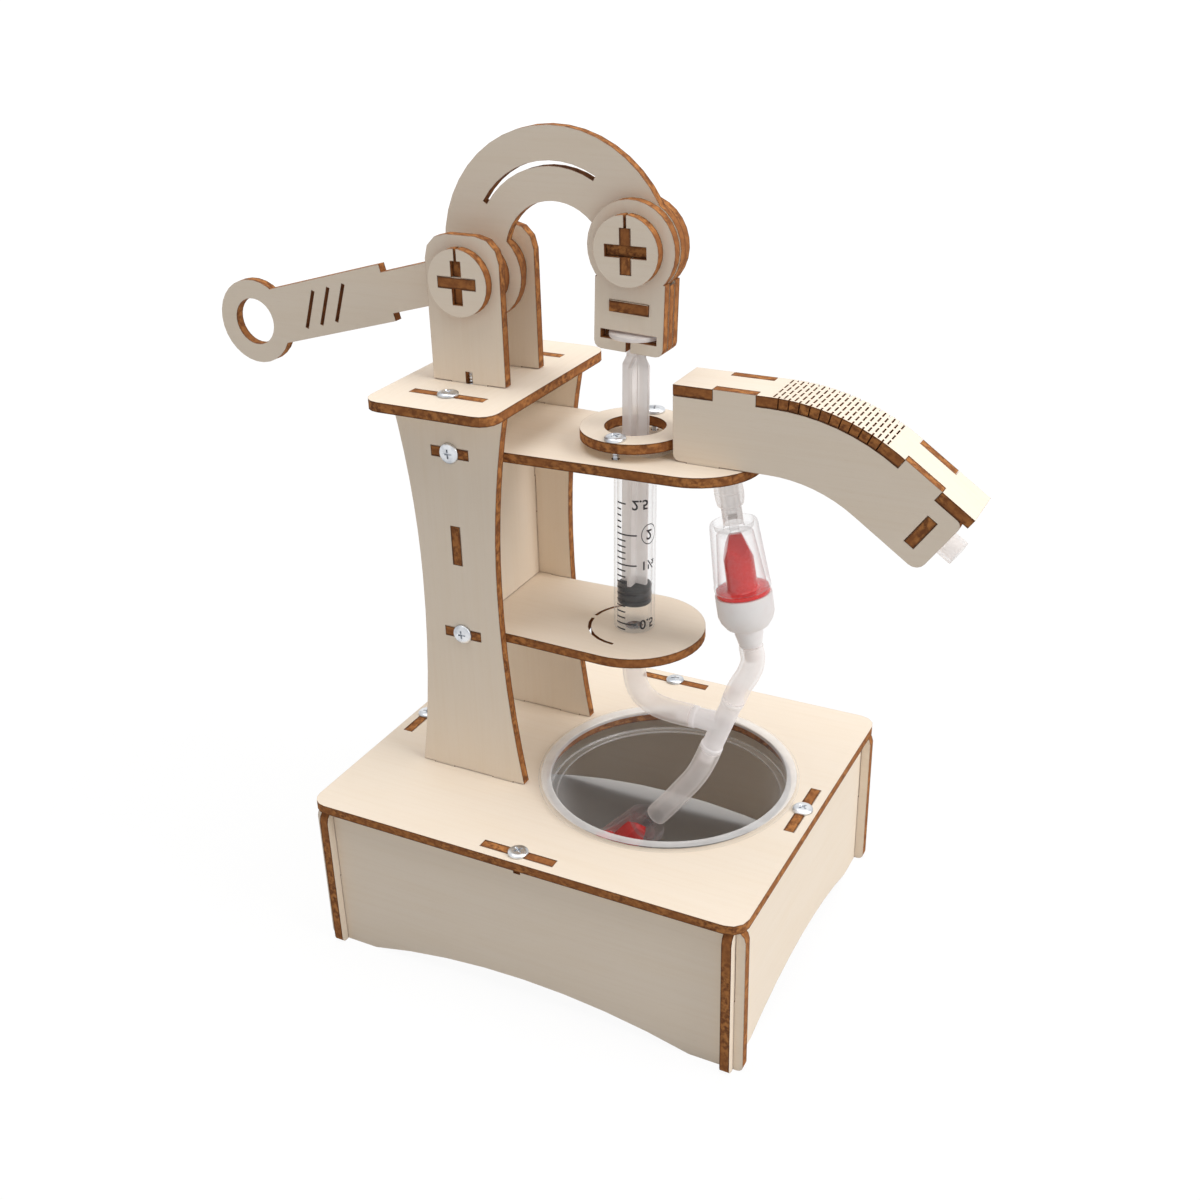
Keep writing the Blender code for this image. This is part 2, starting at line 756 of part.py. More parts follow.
def disk(name, centre, back, slit, parent):
    holes = cross_outline(centre, play)
    if slit:
        low = centre[1] + axle_width / 2 - play
        high = centre[1] + disk_radius + mm
        holes.append(span(centre[0] - disk_slit / 2, low, centre[0] + disk_slit / 2, high))
    return sheet(name, "front", back, [circle(*centre, disk_radius)], holes, parent)


def cross_axle(name, centre, half_length, flush, parent):
    half = axle_width / 2
    x, z = centre
    lengths = {"flat": half_length, "upright": half_length}
    lengths["flat" if flush == "upright" else "upright"] -= axle_step
    flat = span(x - half, -lengths["flat"], x + half, lengths["flat"])
    flat_gap = span(x - ply / 2 - play, -seat / 2, x + ply / 2 + play, half_length + mm)
    sheet(name + "_flat", "up", z - ply / 2, [flat], [flat_gap], parent)
    upright = span(-lengths["upright"], z - half, lengths["upright"], z + half)
    upright_gap = span(-half_length - mm, z - ply / 2 - play, seat / 2, z + ply / 2 + play)
    sheet(name + "_upright", "side", x - ply / 2, [upright], [upright_gap], parent)


# Lever, drawn round its pivot

def lever(parent):
    hanger = axis_empty("lever_axis", pivot_x, pivot_z, parent)
    here = (0, 0)
    far = (link_pivot_x - pivot_x, link_pivot_z - pivot_z)
    middle = (far[0] / 2, far[1] / 2)
    rise = math.degrees(math.atan2(far[1], far[0]))
    wide = span(-handle_length, -handle_width / 2, -handle_neck_end, handle_width / 2)
    neck = span(-handle_neck_end - mm, -handle_neck_width / 2, 0, handle_neck_width / 2)
    ring_centre = turned_outline([(-handle_length, 0)], handle_slope, here)[0]
    solids = [
        turned_outline(wide, handle_slope, here), turned_outline(neck, handle_slope, here),
        circle(*ring_centre, ring_radius), circle(*here, hub_radius), circle(*far, hub_radius),
        sector(*middle, arch_inner_radius, arch_outer_radius, rise, rise + 180, 8),
    ]
    holes = [circle(*ring_centre, ring_hole_radius)] + cross_outline(here, play) + cross_outline(far, play)
    slit_radius = (arch_inner_radius + arch_outer_radius) / 2
    slit_inner, slit_outer = slit_radius - arch_slit_width / 2, slit_radius + arch_slit_width / 2
    holes.append(sector(*middle, slit_inner, slit_outer, arch_slit_start, arch_slit_end, 8))
    for i in range(handle_slots):
        centre = (-handle_length + handle_slot_first + i * handle_slot_pitch, 0)
        slot = turned_outline(box(*centre, handle_slot_width, handle_slot_length), -handle_slot_lean, centre)
        holes.append(turned_outline(slot, handle_slope, here))
    sheet("lever_arm", "front", ply / 2, solids, holes, hanger)
    cross_axle("lever_axle", here, lever_axle_half, "flat", hanger)
    cross_axle("link_axle", far, link_axle_half, "upright", hanger)
    for label, backs in (("front", (-spacer_layer, -spacer_outer_layer, -lever_cap_layer, -link_cap_layer)),
                         ("rear", (spacer_layer + ply, spacer_outer_layer + ply, lever_cap_layer + ply,
                                   link_cap_layer + ply))):
        disk("lever_spacer_inner_" + label, here, backs[0], False, hanger)
        disk("lever_spacer_outer_" + label, here, backs[1], False, hanger)
        disk("lever_cap_" + label, here, backs[2], True, hanger)
        disk("link_cap_" + label, far, backs[3], True, hanger)


# Link, drawn round its pivot on the lever

def link(parent):
    hanger = axis_empty("link_axis", link_pivot_x, link_pivot_z, parent, link_lean)
    half = link_width / 2
    key_slot = box(0, -key_drop, key_width + 2 * play, ply + 2 * play)
    flange_slot = box(0, flange_lift - flange_drop, flange_slot_width, flange_slot_height)
    body = rounded(span(-half, -link_length, half, -link_neck_drop), [link_corner, link_corner, 0, 0])
    slit = span(-link_slit / 2, -link_length - mm, link_slit / 2, -flange_drop)
    solids = [body, circle(0, 0, link_head_radius)]
    holes = [circle(0, 0, axle_bore_radius, 15), key_slot, flange_slot, slit]
    sheet("link_front_plate", "front", -link_layer, solids, holes, hanger)
    sheet("link_rear_plate", "front", link_layer + ply, solids, holes, hanger)
    passage = span(-rod_passage / 2, -link_length - mm, rod_passage / 2, -flange_drop)
    clearing = circle(0, 0, hub_radius + link_head_clearing)
    sheet("link_middle_plate", "front", ply / 2, [body], [clearing, key_slot, flange_slot, passage], hanger)
    reach = link_layer + ply + key_proud
    key = span(-key_width / 2, -reach, key_width / 2, reach)
    sheet("link_key", "up", -key_drop - ply / 2, [key], [], hanger)


# Syringe, drawn round the point where its foot rocks in the lower shelf

def syringe(parent):
    hanger = axis_empty("syringe_axis", rock_x, rock_z, parent, syringe_lean)
    barrel_low = lower_shelf_top + barrel_seat - rock_z
    floor_top = barrel_low + barrel_floor
    flange_low = upper_shelf_top + barrel_flange_room - rock_z
    barrel_high = flange_low + barrel_flange_thick
    profile = [
        (nozzle_bore, -nozzle_length), (nozzle_radius, -nozzle_length), (nozzle_radius, barrel_low),
        (barrel_radius, barrel_low), (barrel_radius, barrel_high), (barrel_bore, barrel_high),
        (barrel_bore, floor_top), (nozzle_bore, floor_top),
    ]
    barrel = turned("syringe_barrel", profile, "clear", hanger, 32)
    reach = math.degrees(math.asin(barrel_flange_half_width / barrel_flange_radius))
    wings = arc(0, 0, barrel_flange_radius, -reach, reach)
    wings += arc(0, 0, barrel_flange_radius, 180 - reach, 180 + reach)
    wing_hole = circle(0, 0, (barrel_bore + barrel_radius) / 2)
    tool = sheet("flange", "up", flange_low, [wings], [wing_hole], hanger, barrel_flange_thick, "clear")
    combine(barrel, tool, "UNION")
    seal_low = floor_top + seal_rise
    seal_high = seal_low + seal_height
    pocket = rod_peg_radius + seat
    seal_profile = [
        (0, seal_low), (seal_radius, seal_low), (seal_radius, seal_low + seal_lip),
        (seal_waist_radius, seal_low + seal_lip), (seal_waist_radius, seal_high - seal_lip),
        (seal_radius, seal_high - seal_lip), (seal_radius, seal_high), (pocket, seal_high),
        (pocket, seal_high - rod_peg_length), (0, seal_high - rod_peg_length),
    ]
    turned("plunger_seal", seal_profile, "rubber", hanger)
    plunger(hanger, seal_high + seat)


def plunger(hanger, rod_low):
    lean = math.radians(syringe_lean)
    aim_x, aim_z = link_pivot_x - rock_x, link_pivot_z - rock_z
    flange_middle = aim_x * math.sin(lean) + aim_z * math.cos(lean) - flange_drop
    flange_low = flange_middle - plunger_flange_thick / 2
    neck_low = flange_low - rod_neck_length
    wide = [box(0, 0, 2 * rod_half, rod_rib), box(0, 0, rod_rib, 2 * rod_half)]
    narrow = [box(0, 0, 2 * rod_neck_half, rod_rib), box(0, 0, rod_rib, 2 * rod_neck_depth_half)]
    rod = sheet("plunger", "up", rod_low, wide, [], hanger, neck_low - rod_low, "milky")
    pieces = (
        ("neck", neck_low - mm, narrow, flange_middle - neck_low + mm),
        ("flange", flange_low, [circle(0, 0, plunger_flange_radius)], plunger_flange_thick),
        ("peg", rod_low - rod_peg_length, [circle(0, 0, rod_peg_radius, 30)], rod_peg_length + mm),
    )
    for name, low, outlines, thickness in pieces:
        combine(rod, sheet(name, "up", low, outlines, [], hanger, thickness, "milky"), "UNION")


# Spout box: two side plates, a bent top strip and an end brace

spout_centre_z = spout_top - spout_bend_radius
spout_belly_radius = upper_shelf_top + seat - spout_centre_z
spout_under_radius = spout_bend_radius - ply


def run_point(along, radius):
    slope = math.radians(spout_slope)
    x = spout_bend_start + radius * math.sin(slope) + along * math.cos(slope)
    z = spout_centre_z + radius * math.cos(slope) - along * math.sin(slope)
    return (x, z)


def bent_outline(inner, outer, run):
    steep = 90 - spout_slope
    low = arc(spout_bend_start, spout_centre_z, inner, 90, steep, 5)
    high = arc(spout_bend_start, spout_centre_z, outer, steep, 90, 5)
    start = [(spout_left, spout_centre_z + outer), (spout_left, spout_centre_z + inner)]
    return start + low + [run_point(run, inner), run_point(run, outer)] + high


def run_box(start, end, inner, outer):
    return [run_point(start, inner), run_point(end, inner), run_point(end, outer), run_point(start, outer)]


def spout_tabs(inner, clearance):
    first = span(spout_tab_start - clearance, spout_centre_z + inner,
                 spout_tab_start + spout_tab_length + clearance, spout_top)
    second_end = spout_second_tab + spout_tab_length
    return [first, run_box(spout_second_tab - clearance, second_end + clearance, inner, spout_bend_radius)]


def spout_side(name, back, parent):
    inner, outer = spout_belly_radius, spout_under_radius - seat
    body = bent_outline(inner, outer, spout_run)
    corners = [0] * len(body)
    corners[1] = spout_corner
    toe = body.index(run_point(spout_run, inner))
    corners[toe] = spout_toe_corner
    corners[toe + 1] = spout_corner
    foot_end = spout_foot_start + spout_foot_length
    foot = span(spout_foot_start, upper_shelf_top - ply, foot_end, upper_shelf_top + ply)
    middle = (inner + outer) / 2
    brace_far = spout_run - brace_inset + play
    half_slot = brace_tab / 2 + play
    slot = run_box(brace_far - ply - 2 * play, brace_far, middle - half_slot, middle + half_slot)
    solids = [rounded(body, corners), foot] + spout_tabs(spout_under_radius - ply, 0)
    return sheet(name, "front", back, solids, [slot], parent)


def spout_strip(parent):
    width = 2 * spout_half_width
    outline = bent_outline(spout_under_radius, spout_bend_radius, spout_run + spout_overhang)
    strip = sheet("spout_top_strip", "front", spout_half_width, [outline], [], parent, width)
    depth = ply + play
    notches = spout_tabs(spout_under_radius - ply, play)
    lifted = [[(u, v + mm) for u, v in notches[0]], run_box_lifted(notches[1])]
    for name, back in (("front_notch", depth - spout_half_width), ("rear_notch", spout_half_width + mm)):
        combine(strip, sheet(name, "front", back, lifted, [], parent, depth + mm), "DIFFERENCE")


def run_box_lifted(corners):
    slope = math.radians(spout_slope)
    return [(u + mm * math.sin(slope), v + mm * math.cos(slope)) for u, v in corners]


def spout_brace(parent):
    inner, outer = spout_belly_radius, spout_under_radius - seat
    middle = (inner + outer) / 2
    place = run_point(spout_run - brace_inset - ply, middle)
    hanger = axis_empty("spout_end", *place, parent, spout_slope)
    reach = spout_half_width - ply - seat
    height = (outer - inner) / 2 - brace_low
    tab = span(-spout_half_width, -brace_tab / 2, spout_half_width, brace_tab / 2)
    solids = [span(-reach, -height, reach, height), tab]
    hole = circle(0, outlet_offset, hose_radius + hose_fit)
    sheet("spout_brace", "side", 0, solids, [hole], hanger)


# The hose turns over the valve's barb, then keeps to the bend of the box and leaves through its brace
def spout_hose_route():
    radius = (spout_belly_radius + spout_under_radius - seat) / 2 + outlet_offset
    route = in_mm(spout_hose_turn, valve_point(upper_shelf_top), upper_shelf_top)
    route += arc(spout_bend_start, spout_centre_z, radius, 90, 90 - spout_slope, spout_slope / spout_hose_steps)
    return route + [run_point(along, radius) for along in spout_hose_run]


def spout(parent):
    spout_side("spout_front_side", ply - spout_half_width, parent)
    spout_side("spout_rear_side", spout_half_width, parent)
    spout_strip(parent)
    spout_brace(parent)
    hose("spout_hose", spout_hose_route(), parent)


# Tee and check valves

def tee(parent):
    def tube(name, foot, target, radius, spigot, low, high, sides=16):
        length = math.dist(foot, target)
        profile = [(0, -low)]
        if spigot:
            profile += [(spigot, -low), (spigot, 0)] if low else []
            profile += [(radius, 0), (radius, length), (spigot, length), (spigot, length + high)]
        else:
            profile += [(radius, -low), (radius, length + high)]
        profile.append((0, length + high))
        return aim(turned(name, profile, "milky", parent, sides), foot, target)

    low, high, left = ((x * mm, z * mm) for x, z in (tee_low, tee_high, tee_left))
    middle = run_share(low, high, tee_branch_share)
    body = tube("tee", low, high, tee_radius, spigot_radius, sleeve_overlap, sleeve_overlap)
    combine(body, tube("branch", middle, left, tee_radius, spigot_radius, 0, sleeve_overlap), "UNION")
    past = 2 * sleeve_overlap
    combine(body, tube("run_bore", low, high, tee_bore, 0, past, past, 8), "DIFFERENCE")
    combine(body, tube("branch_bore", middle, left, tee_bore, 0, 0, past, 8), "DIFFERENCE")


def run_share(start, end, share):
    return (start[0] + share * (end[0] - start[0]), start[1] + share * (end[1] - start[1]))


def check_valve(prefix, foot, target, stem_length, base_length, spigot_low, barb, spigot_high, parent):
    wide, wall = valve_base_radius, valve_wall
    base_top = stem_length + base_length
    core_low = base_top + seat
    core_high = core_low + core_flange
    body_low = core_high + seat
    body_high = body_low + valve_body_length
    bevel = base_length * 0.3
    base_profile = [(tee_bore, -spigot_low), (spigot_radius, -spigot_low), (spigot_radius, 0),
                    (tee_radius, 0), (valve_collar_radius, stem_length), (valve_shoulder_radius, stem_length),
                    (wide, stem_length + bevel), (wide, base_top), (tee_bore, base_top)]
    if not spigot_low:
        base_profile = [(tee_bore, 0), (valve_shoulder_radius, 0), (wide, bevel), (wide, base_top),
                        (tee_bore, base_top)]
    core_tip = body_low + valve_body_length * 0.8
    core_rim = wide - wall / 2
    core_profile = [(0, core_low), (core_rim, core_low), (core_rim, core_high), (core_radius, core_high),
                    (core_radius * 0.92, (body_low + core_tip) / 2), (core_radius * 0.2, core_tip),
                    (0, core_tip)]
    top = valve_body_top_radius
    neck_high = body_high + valve_neck_length
    body_profile = [(wide - wall, body_low), (wide, body_low), (top, body_high - wall), (top - wall, body_high),
                    (valve_neck_radius, body_high), (valve_neck_radius, neck_high)]
    if barb:
        body_profile += [(barb_radius, neck_high + barb * 0.2), (barb_radius, neck_high + barb * 0.45),
                         (barb_radius * 0.8, neck_high + barb * 0.5), (spigot_radius, neck_high + barb)]
    tip = neck_high + barb + spigot_high
    body_profile += [(spigot_radius, neck_high + barb), (spigot_radius, tip), (tee_bore, tip),
                     (tee_bore, body_high - wall), (top - wall * 1.5, body_high - wall)]
    if barb:
        body_profile.remove((spigot_radius, neck_high + barb))
    aim(turned(prefix + "_base", base_profile, "white", parent, 24), foot, target)
    aim(turned(prefix + "_core", core_profile, "red", parent, 20), foot, target)
    aim(turned(prefix + "_body", body_profile, "clear", parent, 24), foot, target)


def plumbing(parent):
    hose("nozzle_hose", in_mm(nozzle_hose_route), parent)
    hose("riser_hose", in_mm(riser_hose_route), parent)
    hose("inlet_hose", in_mm(inlet_hose_route), parent)
    tee(parent)
    check_valve("outlet_valve", valve_foot, valve_aim, valve_stem_length, valve_base_length, sleeve_overlap,
                barb_length, outlet_spigot_length, parent)
    length = inlet_base_length + 2 * seat + core_flange + valve_body_length + valve_neck_length
    share = length / math.dist(inlet_tip, inlet_aim)
    inlet_foot = run_share(inlet_tip, inlet_aim, share)
    check_valve("inlet_valve", inlet_foot, inlet_tip, 0, inlet_base_length, 0, 0, sleeve_overlap, parent)


def build():
    for old in list(bpy.data.objects):
        bpy.data.objects.remove(old, do_unlink=True)
    right_reach = run_point(spout_run + spout_overhang, spout_bend_radius)[0]
    frame = axis_empty("pump_frame", -(left_reach + right_reach) / 2, 0, None)
    base(frame)
    tower(frame)
    lever(frame)
    link(frame)
    syringe(frame)
    spout(frame)
    plumbing(frame)


build()
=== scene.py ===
import json
import math

import bmesh
import bpy
from mathutils import Matrix, Vector


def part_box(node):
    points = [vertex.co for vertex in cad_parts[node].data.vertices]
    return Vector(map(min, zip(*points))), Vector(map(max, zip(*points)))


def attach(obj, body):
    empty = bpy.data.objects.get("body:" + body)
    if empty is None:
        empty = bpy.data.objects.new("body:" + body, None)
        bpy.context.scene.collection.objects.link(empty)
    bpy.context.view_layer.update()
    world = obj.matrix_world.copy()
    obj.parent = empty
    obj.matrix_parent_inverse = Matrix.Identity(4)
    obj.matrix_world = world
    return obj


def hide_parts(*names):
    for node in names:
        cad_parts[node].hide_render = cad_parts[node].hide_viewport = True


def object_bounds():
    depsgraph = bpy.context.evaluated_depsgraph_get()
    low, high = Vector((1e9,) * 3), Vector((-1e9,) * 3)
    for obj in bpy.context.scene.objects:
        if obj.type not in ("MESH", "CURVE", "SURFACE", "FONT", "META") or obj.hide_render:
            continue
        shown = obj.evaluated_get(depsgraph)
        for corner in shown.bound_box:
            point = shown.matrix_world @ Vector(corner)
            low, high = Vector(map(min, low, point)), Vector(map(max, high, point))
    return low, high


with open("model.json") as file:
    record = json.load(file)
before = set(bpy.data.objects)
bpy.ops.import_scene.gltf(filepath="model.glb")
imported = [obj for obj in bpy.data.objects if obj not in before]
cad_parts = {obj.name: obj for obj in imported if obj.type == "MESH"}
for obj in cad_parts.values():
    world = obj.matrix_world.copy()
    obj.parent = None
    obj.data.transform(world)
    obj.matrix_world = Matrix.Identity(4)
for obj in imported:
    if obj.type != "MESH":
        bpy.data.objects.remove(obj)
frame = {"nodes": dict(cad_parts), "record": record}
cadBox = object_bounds()
print("frame loaded,", len(frame["nodes"]), "nodes")

mm = 0.001
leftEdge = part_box("base_deck")[0].x / mm
slots = {part["node"]: part["material_slot"] for part in frame["record"]["subparts"]}


def kit(x, z, y=0.0):
    return Vector(((leftEdge + x) * mm, y * mm, z * mm))


def centreOf(node):
    low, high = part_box(node)
    return (low + high) / 2


# A colour as it is seen on a screen, from 0 to 255, as the light that it stands for
def tone(red, green, blue):
    shares = [value / 255 for value in (red, green, blue)]
    linear = [share / 12.92 if share <= 0.04045 else ((share + 0.055) / 1.055) ** 2.4 for share in shares]
    return (*linear, 1.0)


# Shader sums are written as plain expressions on sockets
class Wire:
    def __init__(self, finish, socket):
        self.finish = finish
        self.socket = socket

    def work(self, operation, first, second=0.0):
        return self.finish.node("ShaderNodeMath", {"operation": operation}, {0: first, 1: second})

    def __add__(self, other):
        return self.work("ADD", self, other)

    def __sub__(self, other):
        return self.work("SUBTRACT", self, other)

    def __rsub__(self, other):
        return self.work("SUBTRACT", other, self)

    def __mul__(self, other):
        return self.work("MULTIPLY", self, other)

    def __truediv__(self, other):
        return self.work("DIVIDE", self, other)

    def __rtruediv__(self, other):
        return self.work("DIVIDE", other, self)

    def __gt__(self, other):
        return self.work("GREATER_THAN", self, other)

    def __abs__(self):
        return self.work("ABSOLUTE", self)

    __radd__ = __add__
    __rmul__ = __mul__

    def most(self, other):
        return self.work("MAXIMUM", self, other)

    # rises smoothly from 0 to 1 between two values
    def ramp(self, low, high):
        return self.finish.node("ShaderNodeMapRange", {"interpolation_type": "SMOOTHSTEP"},
                                {"Value": self, "From Min": low, "From Max": high})


# The nodes of one material, or of the world
class Finish:
    def __init__(self, owner):
        self.owner = owner
        owner.use_nodes = True
        self.tree = owner.node_tree
        self.tree.nodes.clear()
        self.place = self.node("ShaderNodeTexCoord", output="Object")

    def node(self, kind, settings=None, inputs=None, output=0):
        made = self.tree.nodes.new(kind)
        for key, value in (settings or {}).items():
            setattr(made, key, value)
        for key, value in (inputs or {}).items():
            if isinstance(value, Wire):
                self.tree.links.new(value.socket, made.inputs[key])
            else:
                made.inputs[key].default_value = value
        return Wire(self, made.outputs[output]) if made.outputs else made

    def along(self, direction, vector=None):
        return self.node("ShaderNodeVectorMath", {"operation": "DOT_PRODUCT"},
                         {0: vector or self.place, 1: direction}, "Value")

    def vector(self, x, y, z):
        return self.node("ShaderNodeCombineXYZ", {}, {0: x, 1: y, 2: z})

    def noise(self, vector, scale, detail=2.0, roughness=0.5):
        return self.node("ShaderNodeTexNoise", {}, {"Vector": vector, "Scale": scale, "Detail": detail,
                                                    "Roughness": roughness}, "Fac")

    # 6 and 7 are a Mix node's two colours, and 2 is the colour that it gives
    def mix(self, share, first, second):
        return self.node("ShaderNodeMix", {"data_type": "RGBA"}, {0: share, 6: first, 7: second}, 2)

    def bump(self, height, depth, strength=1.0):
        return self.node("ShaderNodeBump", {}, {"Height": height, "Distance": depth * mm,
                                                "Strength": strength})

    def rim(self, power=0.5):
        return self.node("ShaderNodeLayerWeight", {}, {"Blend": power}, "Facing")

    def surface(self, sockets):
        shader = self.node("ShaderNodeBsdfPrincipled", {}, sockets)
        self.node("ShaderNodeOutputMaterial", {}, {"Surface": shader})
        return self.owner


# Laser-cut plywood: pale faces with fine grain, a scorched rim, and burnt cut edges
plyLook = {
    "thickness": 2.5,
    "face": tone(247, 233, 215),
    "grain": tone(228, 205, 175),
    "warm": tone(242, 221, 191),
    "fleck": tone(206, 170, 128),
    "scorch": tone(150, 94, 50),
    "edgeLight": tone(190, 127, 70),
    "edgeMiddle": tone(150, 93, 49),
    "edgeDark": tone(112, 66, 34),
    "char": tone(62, 34, 19),
    "grainShare": 0.08,
    "warmShare": 0.12,
    "fleckShare": 0.06,
    "scorchShare": 0.45,
    "rimWidth": 0.32,
    "lineScale": (28, 950, 900),
    "broadScale": (45, 150, 700),
    "fleckScale": (420, 3600, 500),
    "streakScale": (620, 620, 2.2),
    "patchScale": (120, 120, 0.5),
    "lineSpan": (0.42, 0.66),
    "broadSpan": (0.35, 0.75),
    "fleckSpan": (0.66, 0.76),
    "rimSpan": (0.004, 0.16),
    "streakSpan": (0.34, 0.64),
    "patchSpan": (0.36, 0.66),
    "patchShare": 0.75,
    "charSpan": (0.62, 1.0),
    "charShare": 0.7,
    "faceLimit": 0.7,
    "roughness": 0.82,
    "faceSmoothness": 0.2,
    "lineRoughness": 0.06,
    "lineHeight": 0.5,
    "specular": 0.3,
    "bumpDepth": 0.05,
    "bumpStrength": 0.35,
}


def plyFinish(name, facing, low, grain, bent=False):
    look = plyLook
    made = Finish(bpy.data.materials.new("ply " + name))
    facing, grain = Vector(facing), Vector(grain)
    if bent:
        made.place = made.node("ShaderNodeAttribute", {"attribute_name": "flatPlace"}, {}, "Vector")
        face = 1 - made.node("ShaderNodeAttribute", {"attribute_name": "cutWall"}, {}, "Fac")
    else:
        face = abs(made.along(facing, made.node("ShaderNodeTexCoord", output="Normal"))) > look["faceLimit"]
    length = made.along(grain)
    width = made.along(facing.cross(grain))
    depth = (made.along(facing) - low) / (look["thickness"] * mm)

    # stretched noise: along the grain, across it, and by the sheet's place or through its thickness
    def stretched(scales, third, detail=2.0, roughness=0.5):
        place = made.vector(length * scales[0], width * scales[1], third * scales[2])
        return made.noise(place, 1.0, detail, roughness)

    lines = stretched(look["lineScale"], low, detail=3.0, roughness=0.6)
    broad = stretched(look["broadScale"], low)
    flecks = stretched(look["fleckScale"], low, detail=1.0)
    pale = made.mix(lines.ramp(*look["lineSpan"]) * look["grainShare"], look["face"], look["grain"])
    pale = made.mix(broad.ramp(*look["broadSpan"]) * look["warmShare"], pale, look["warm"])
    pale = made.mix(flecks.ramp(*look["fleckSpan"]) * look["fleckShare"], pale, look["fleck"])
    rounded = made.node("ShaderNodeBevel", {"samples": 4}, {"Radius": look["rimWidth"] * mm})
    flat = made.node("ShaderNodeNewGeometry", {}, {}, "Normal")
    nearCut = (1 - made.along(flat, rounded)).ramp(*look["rimSpan"])
    pale = made.mix(nearCut * look["scorchShare"], pale, look["scorch"])

    streaks = stretched(look["streakScale"], depth, detail=3.0, roughness=0.6)
    patches = stretched(look["patchScale"], depth)
    burnt = made.mix(streaks.ramp(*look["streakSpan"]), look["edgeDark"], look["edgeLight"])
    burnt = made.mix(patches.ramp(*look["patchSpan"]) * look["patchShare"], burnt, look["edgeMiddle"])
    outward = abs(depth - 0.5) * 2
    burnt = made.mix(outward.ramp(*look["charSpan"]) * look["charShare"], burnt, look["char"])

    height = lines * face * look["lineHeight"] + streaks * (1 - face)
    return made.surface({
        "Base Color": made.mix(face, burnt, pale),
        "Roughness": look["roughness"] - face * look["faceSmoothness"] + lines * look["lineRoughness"],
        "Specular IOR Level": look["specular"],
        "Normal": made.bump(height, look["bumpDepth"], look["bumpStrength"]),
    })


# The spout's bend: where it starts, the height of its centre, and how far it turns in degrees
spoutBend = {"start": 107.0, "centre": 101.9, "slope": 35.5}


# A sheet faces the way in which it is thinnest, and its grain runs the way in which it is longest.
# Only the spout's brace leans, so its directions come from the bend's slope.
def sheetFinish(node):
    low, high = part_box(node)
    size = high - low
    order = sorted(range(3), key=lambda axis: size[axis])
    facing, grain = Vector(), Vector()
    facing[order[0]] = 1
    grain[order[2]] = 1
    if node == "spout_brace":
        slope = math.radians(spoutBend["slope"])
        facing, grain = Vector((math.cos(slope), 0, -math.sin(slope))), Vector((0, 1, 0))
    start = (low + high).dot(facing) / 2 - plyLook["thickness"] * mm / 2
    return plyFinish(node, facing, start, grain)


for node, slot in slots.items():
    if slot == "ply" and node != "spout_top_strip":
        frame["nodes"][node].data.materials.clear()
        frame["nodes"][node].data.materials.append(sheetFinish(node))
print("plywood finished")


# Plastics, rubber and metal. The least is how opaque a thin piece is seen straight on,
# and the most is how opaque it is where it turns away.
# Each kind's shade is its tint darkened. It is mixed in at random as clouding, and towards the edges that
# turn away from the view as painted shade.
plasticLook = {
    "clear": {"tint": tone(250, 249, 249), "shade": tone(224, 221, 222),
              "least": 0.05, "most": 0.5, "gloss": 0.08},
    "glass": {"tint": tone(248, 243, 244), "shade": tone(200, 191, 194),
              "least": 0.04, "most": 0.72, "gloss": 0.06},
    "cup": {"tint": tone(250, 250, 250), "shade": tone(226, 224, 224),
            "least": 0.03, "most": 0.5, "gloss": 0.1},
    "milky": {"tint": tone(255, 250, 247), "shade": tone(246, 236, 232),
              "least": 0.3, "most": 0.74, "gloss": 0.32},
    "tee": {"tint": tone(255, 252, 252), "shade": tone(246, 240, 240),
            "least": 0.66, "most": 0.95, "gloss": 0.32},
    "rod": {"tint": tone(254, 249, 246), "shade": tone(242, 234, 230),
            "least": 0.62, "most": 0.92, "gloss": 0.28},
    "white": {"tint": tone(255, 252, 251), "shade": tone(250, 241, 239),
              "least": 1.0, "most": 1.0, "gloss": 0.38},
    "red": {"tint": tone(250, 38, 34), "shade": tone(214, 18, 22),
            "least": 1.0, "most": 1.0, "gloss": 0.22},
    "rubber": {"tint": tone(34, 36, 39), "shade": tone(16, 17, 19),
               "least": 1.0, "most": 1.0, "gloss": 0.5},
}
lipHazeAndHighlight = {"radius": 31.9, "half": 1.7, "fade": 0.3, "low": 44.9, "share": 0.55,
           "ledge": 39.7, "ledgeHalf": 0.45, "ledgeHighlightShare": 0.32}
# Painted glow: these plastics give off a little light in their own colour, standing in for light that passes
# through them.
paintedGlow = {"milky": 0.12, "tee": 0.12, "rod": 0.08}
moulded = {
    "cloudScale": 260,
    "cloudSpan": (0.3, 0.75),
    "cloudShare": 0.5,
    "cloudRoughness": 0.06,
    "fineScale": 2600,
    "fineRoughness": 0.05,
    "fineHeight": 0.2,
    # how far painted shade darkens the edges that turn away from the view
    "paintedRimShadeShare": 0.35,
    "thinBlend": 0.35,
    "thinSpan": (0.25, 1.0),
    "bumpDepth": 0.05,
    "bumpStrength": 0.2,
}
lacquer = {"kinds": ("red", "clear", "glass", "cup"), "weight": 0.5, "roughness": 0.06}


# The cup's lip is more opaque and pale where the wall turns into the flange, partly a frosted look and
# partly a painted highlight. A thin ring at its ledge is made opaque the same way, as a painted highlight.
def frostAndHighlightShare(made):
    look = lipHazeAndHighlight
    across = made.along((1, 0, 0)) - centreOf("cup").x
    flat = made.vector(across, made.along((0, 1, 0)), 0.0)
    radius = made.node("ShaderNodeVectorMath", {"operation": "LENGTH"}, {0: flat}, "Value")
    apart = abs(radius - look["radius"] * mm)
    near = 1 - apart.ramp((look["half"] - look["fade"]) * mm, look["half"] * mm)
    height = made.along((0, 0, 1))
    # Painted highlight ring along the ledge
    ledge = 1 - abs(height - look["ledge"] * mm).ramp(0, look["ledgeHalf"] * mm)
    return near * (height > look["low"] * mm) * look["share"] + ledge * look["ledgeHighlightShare"]


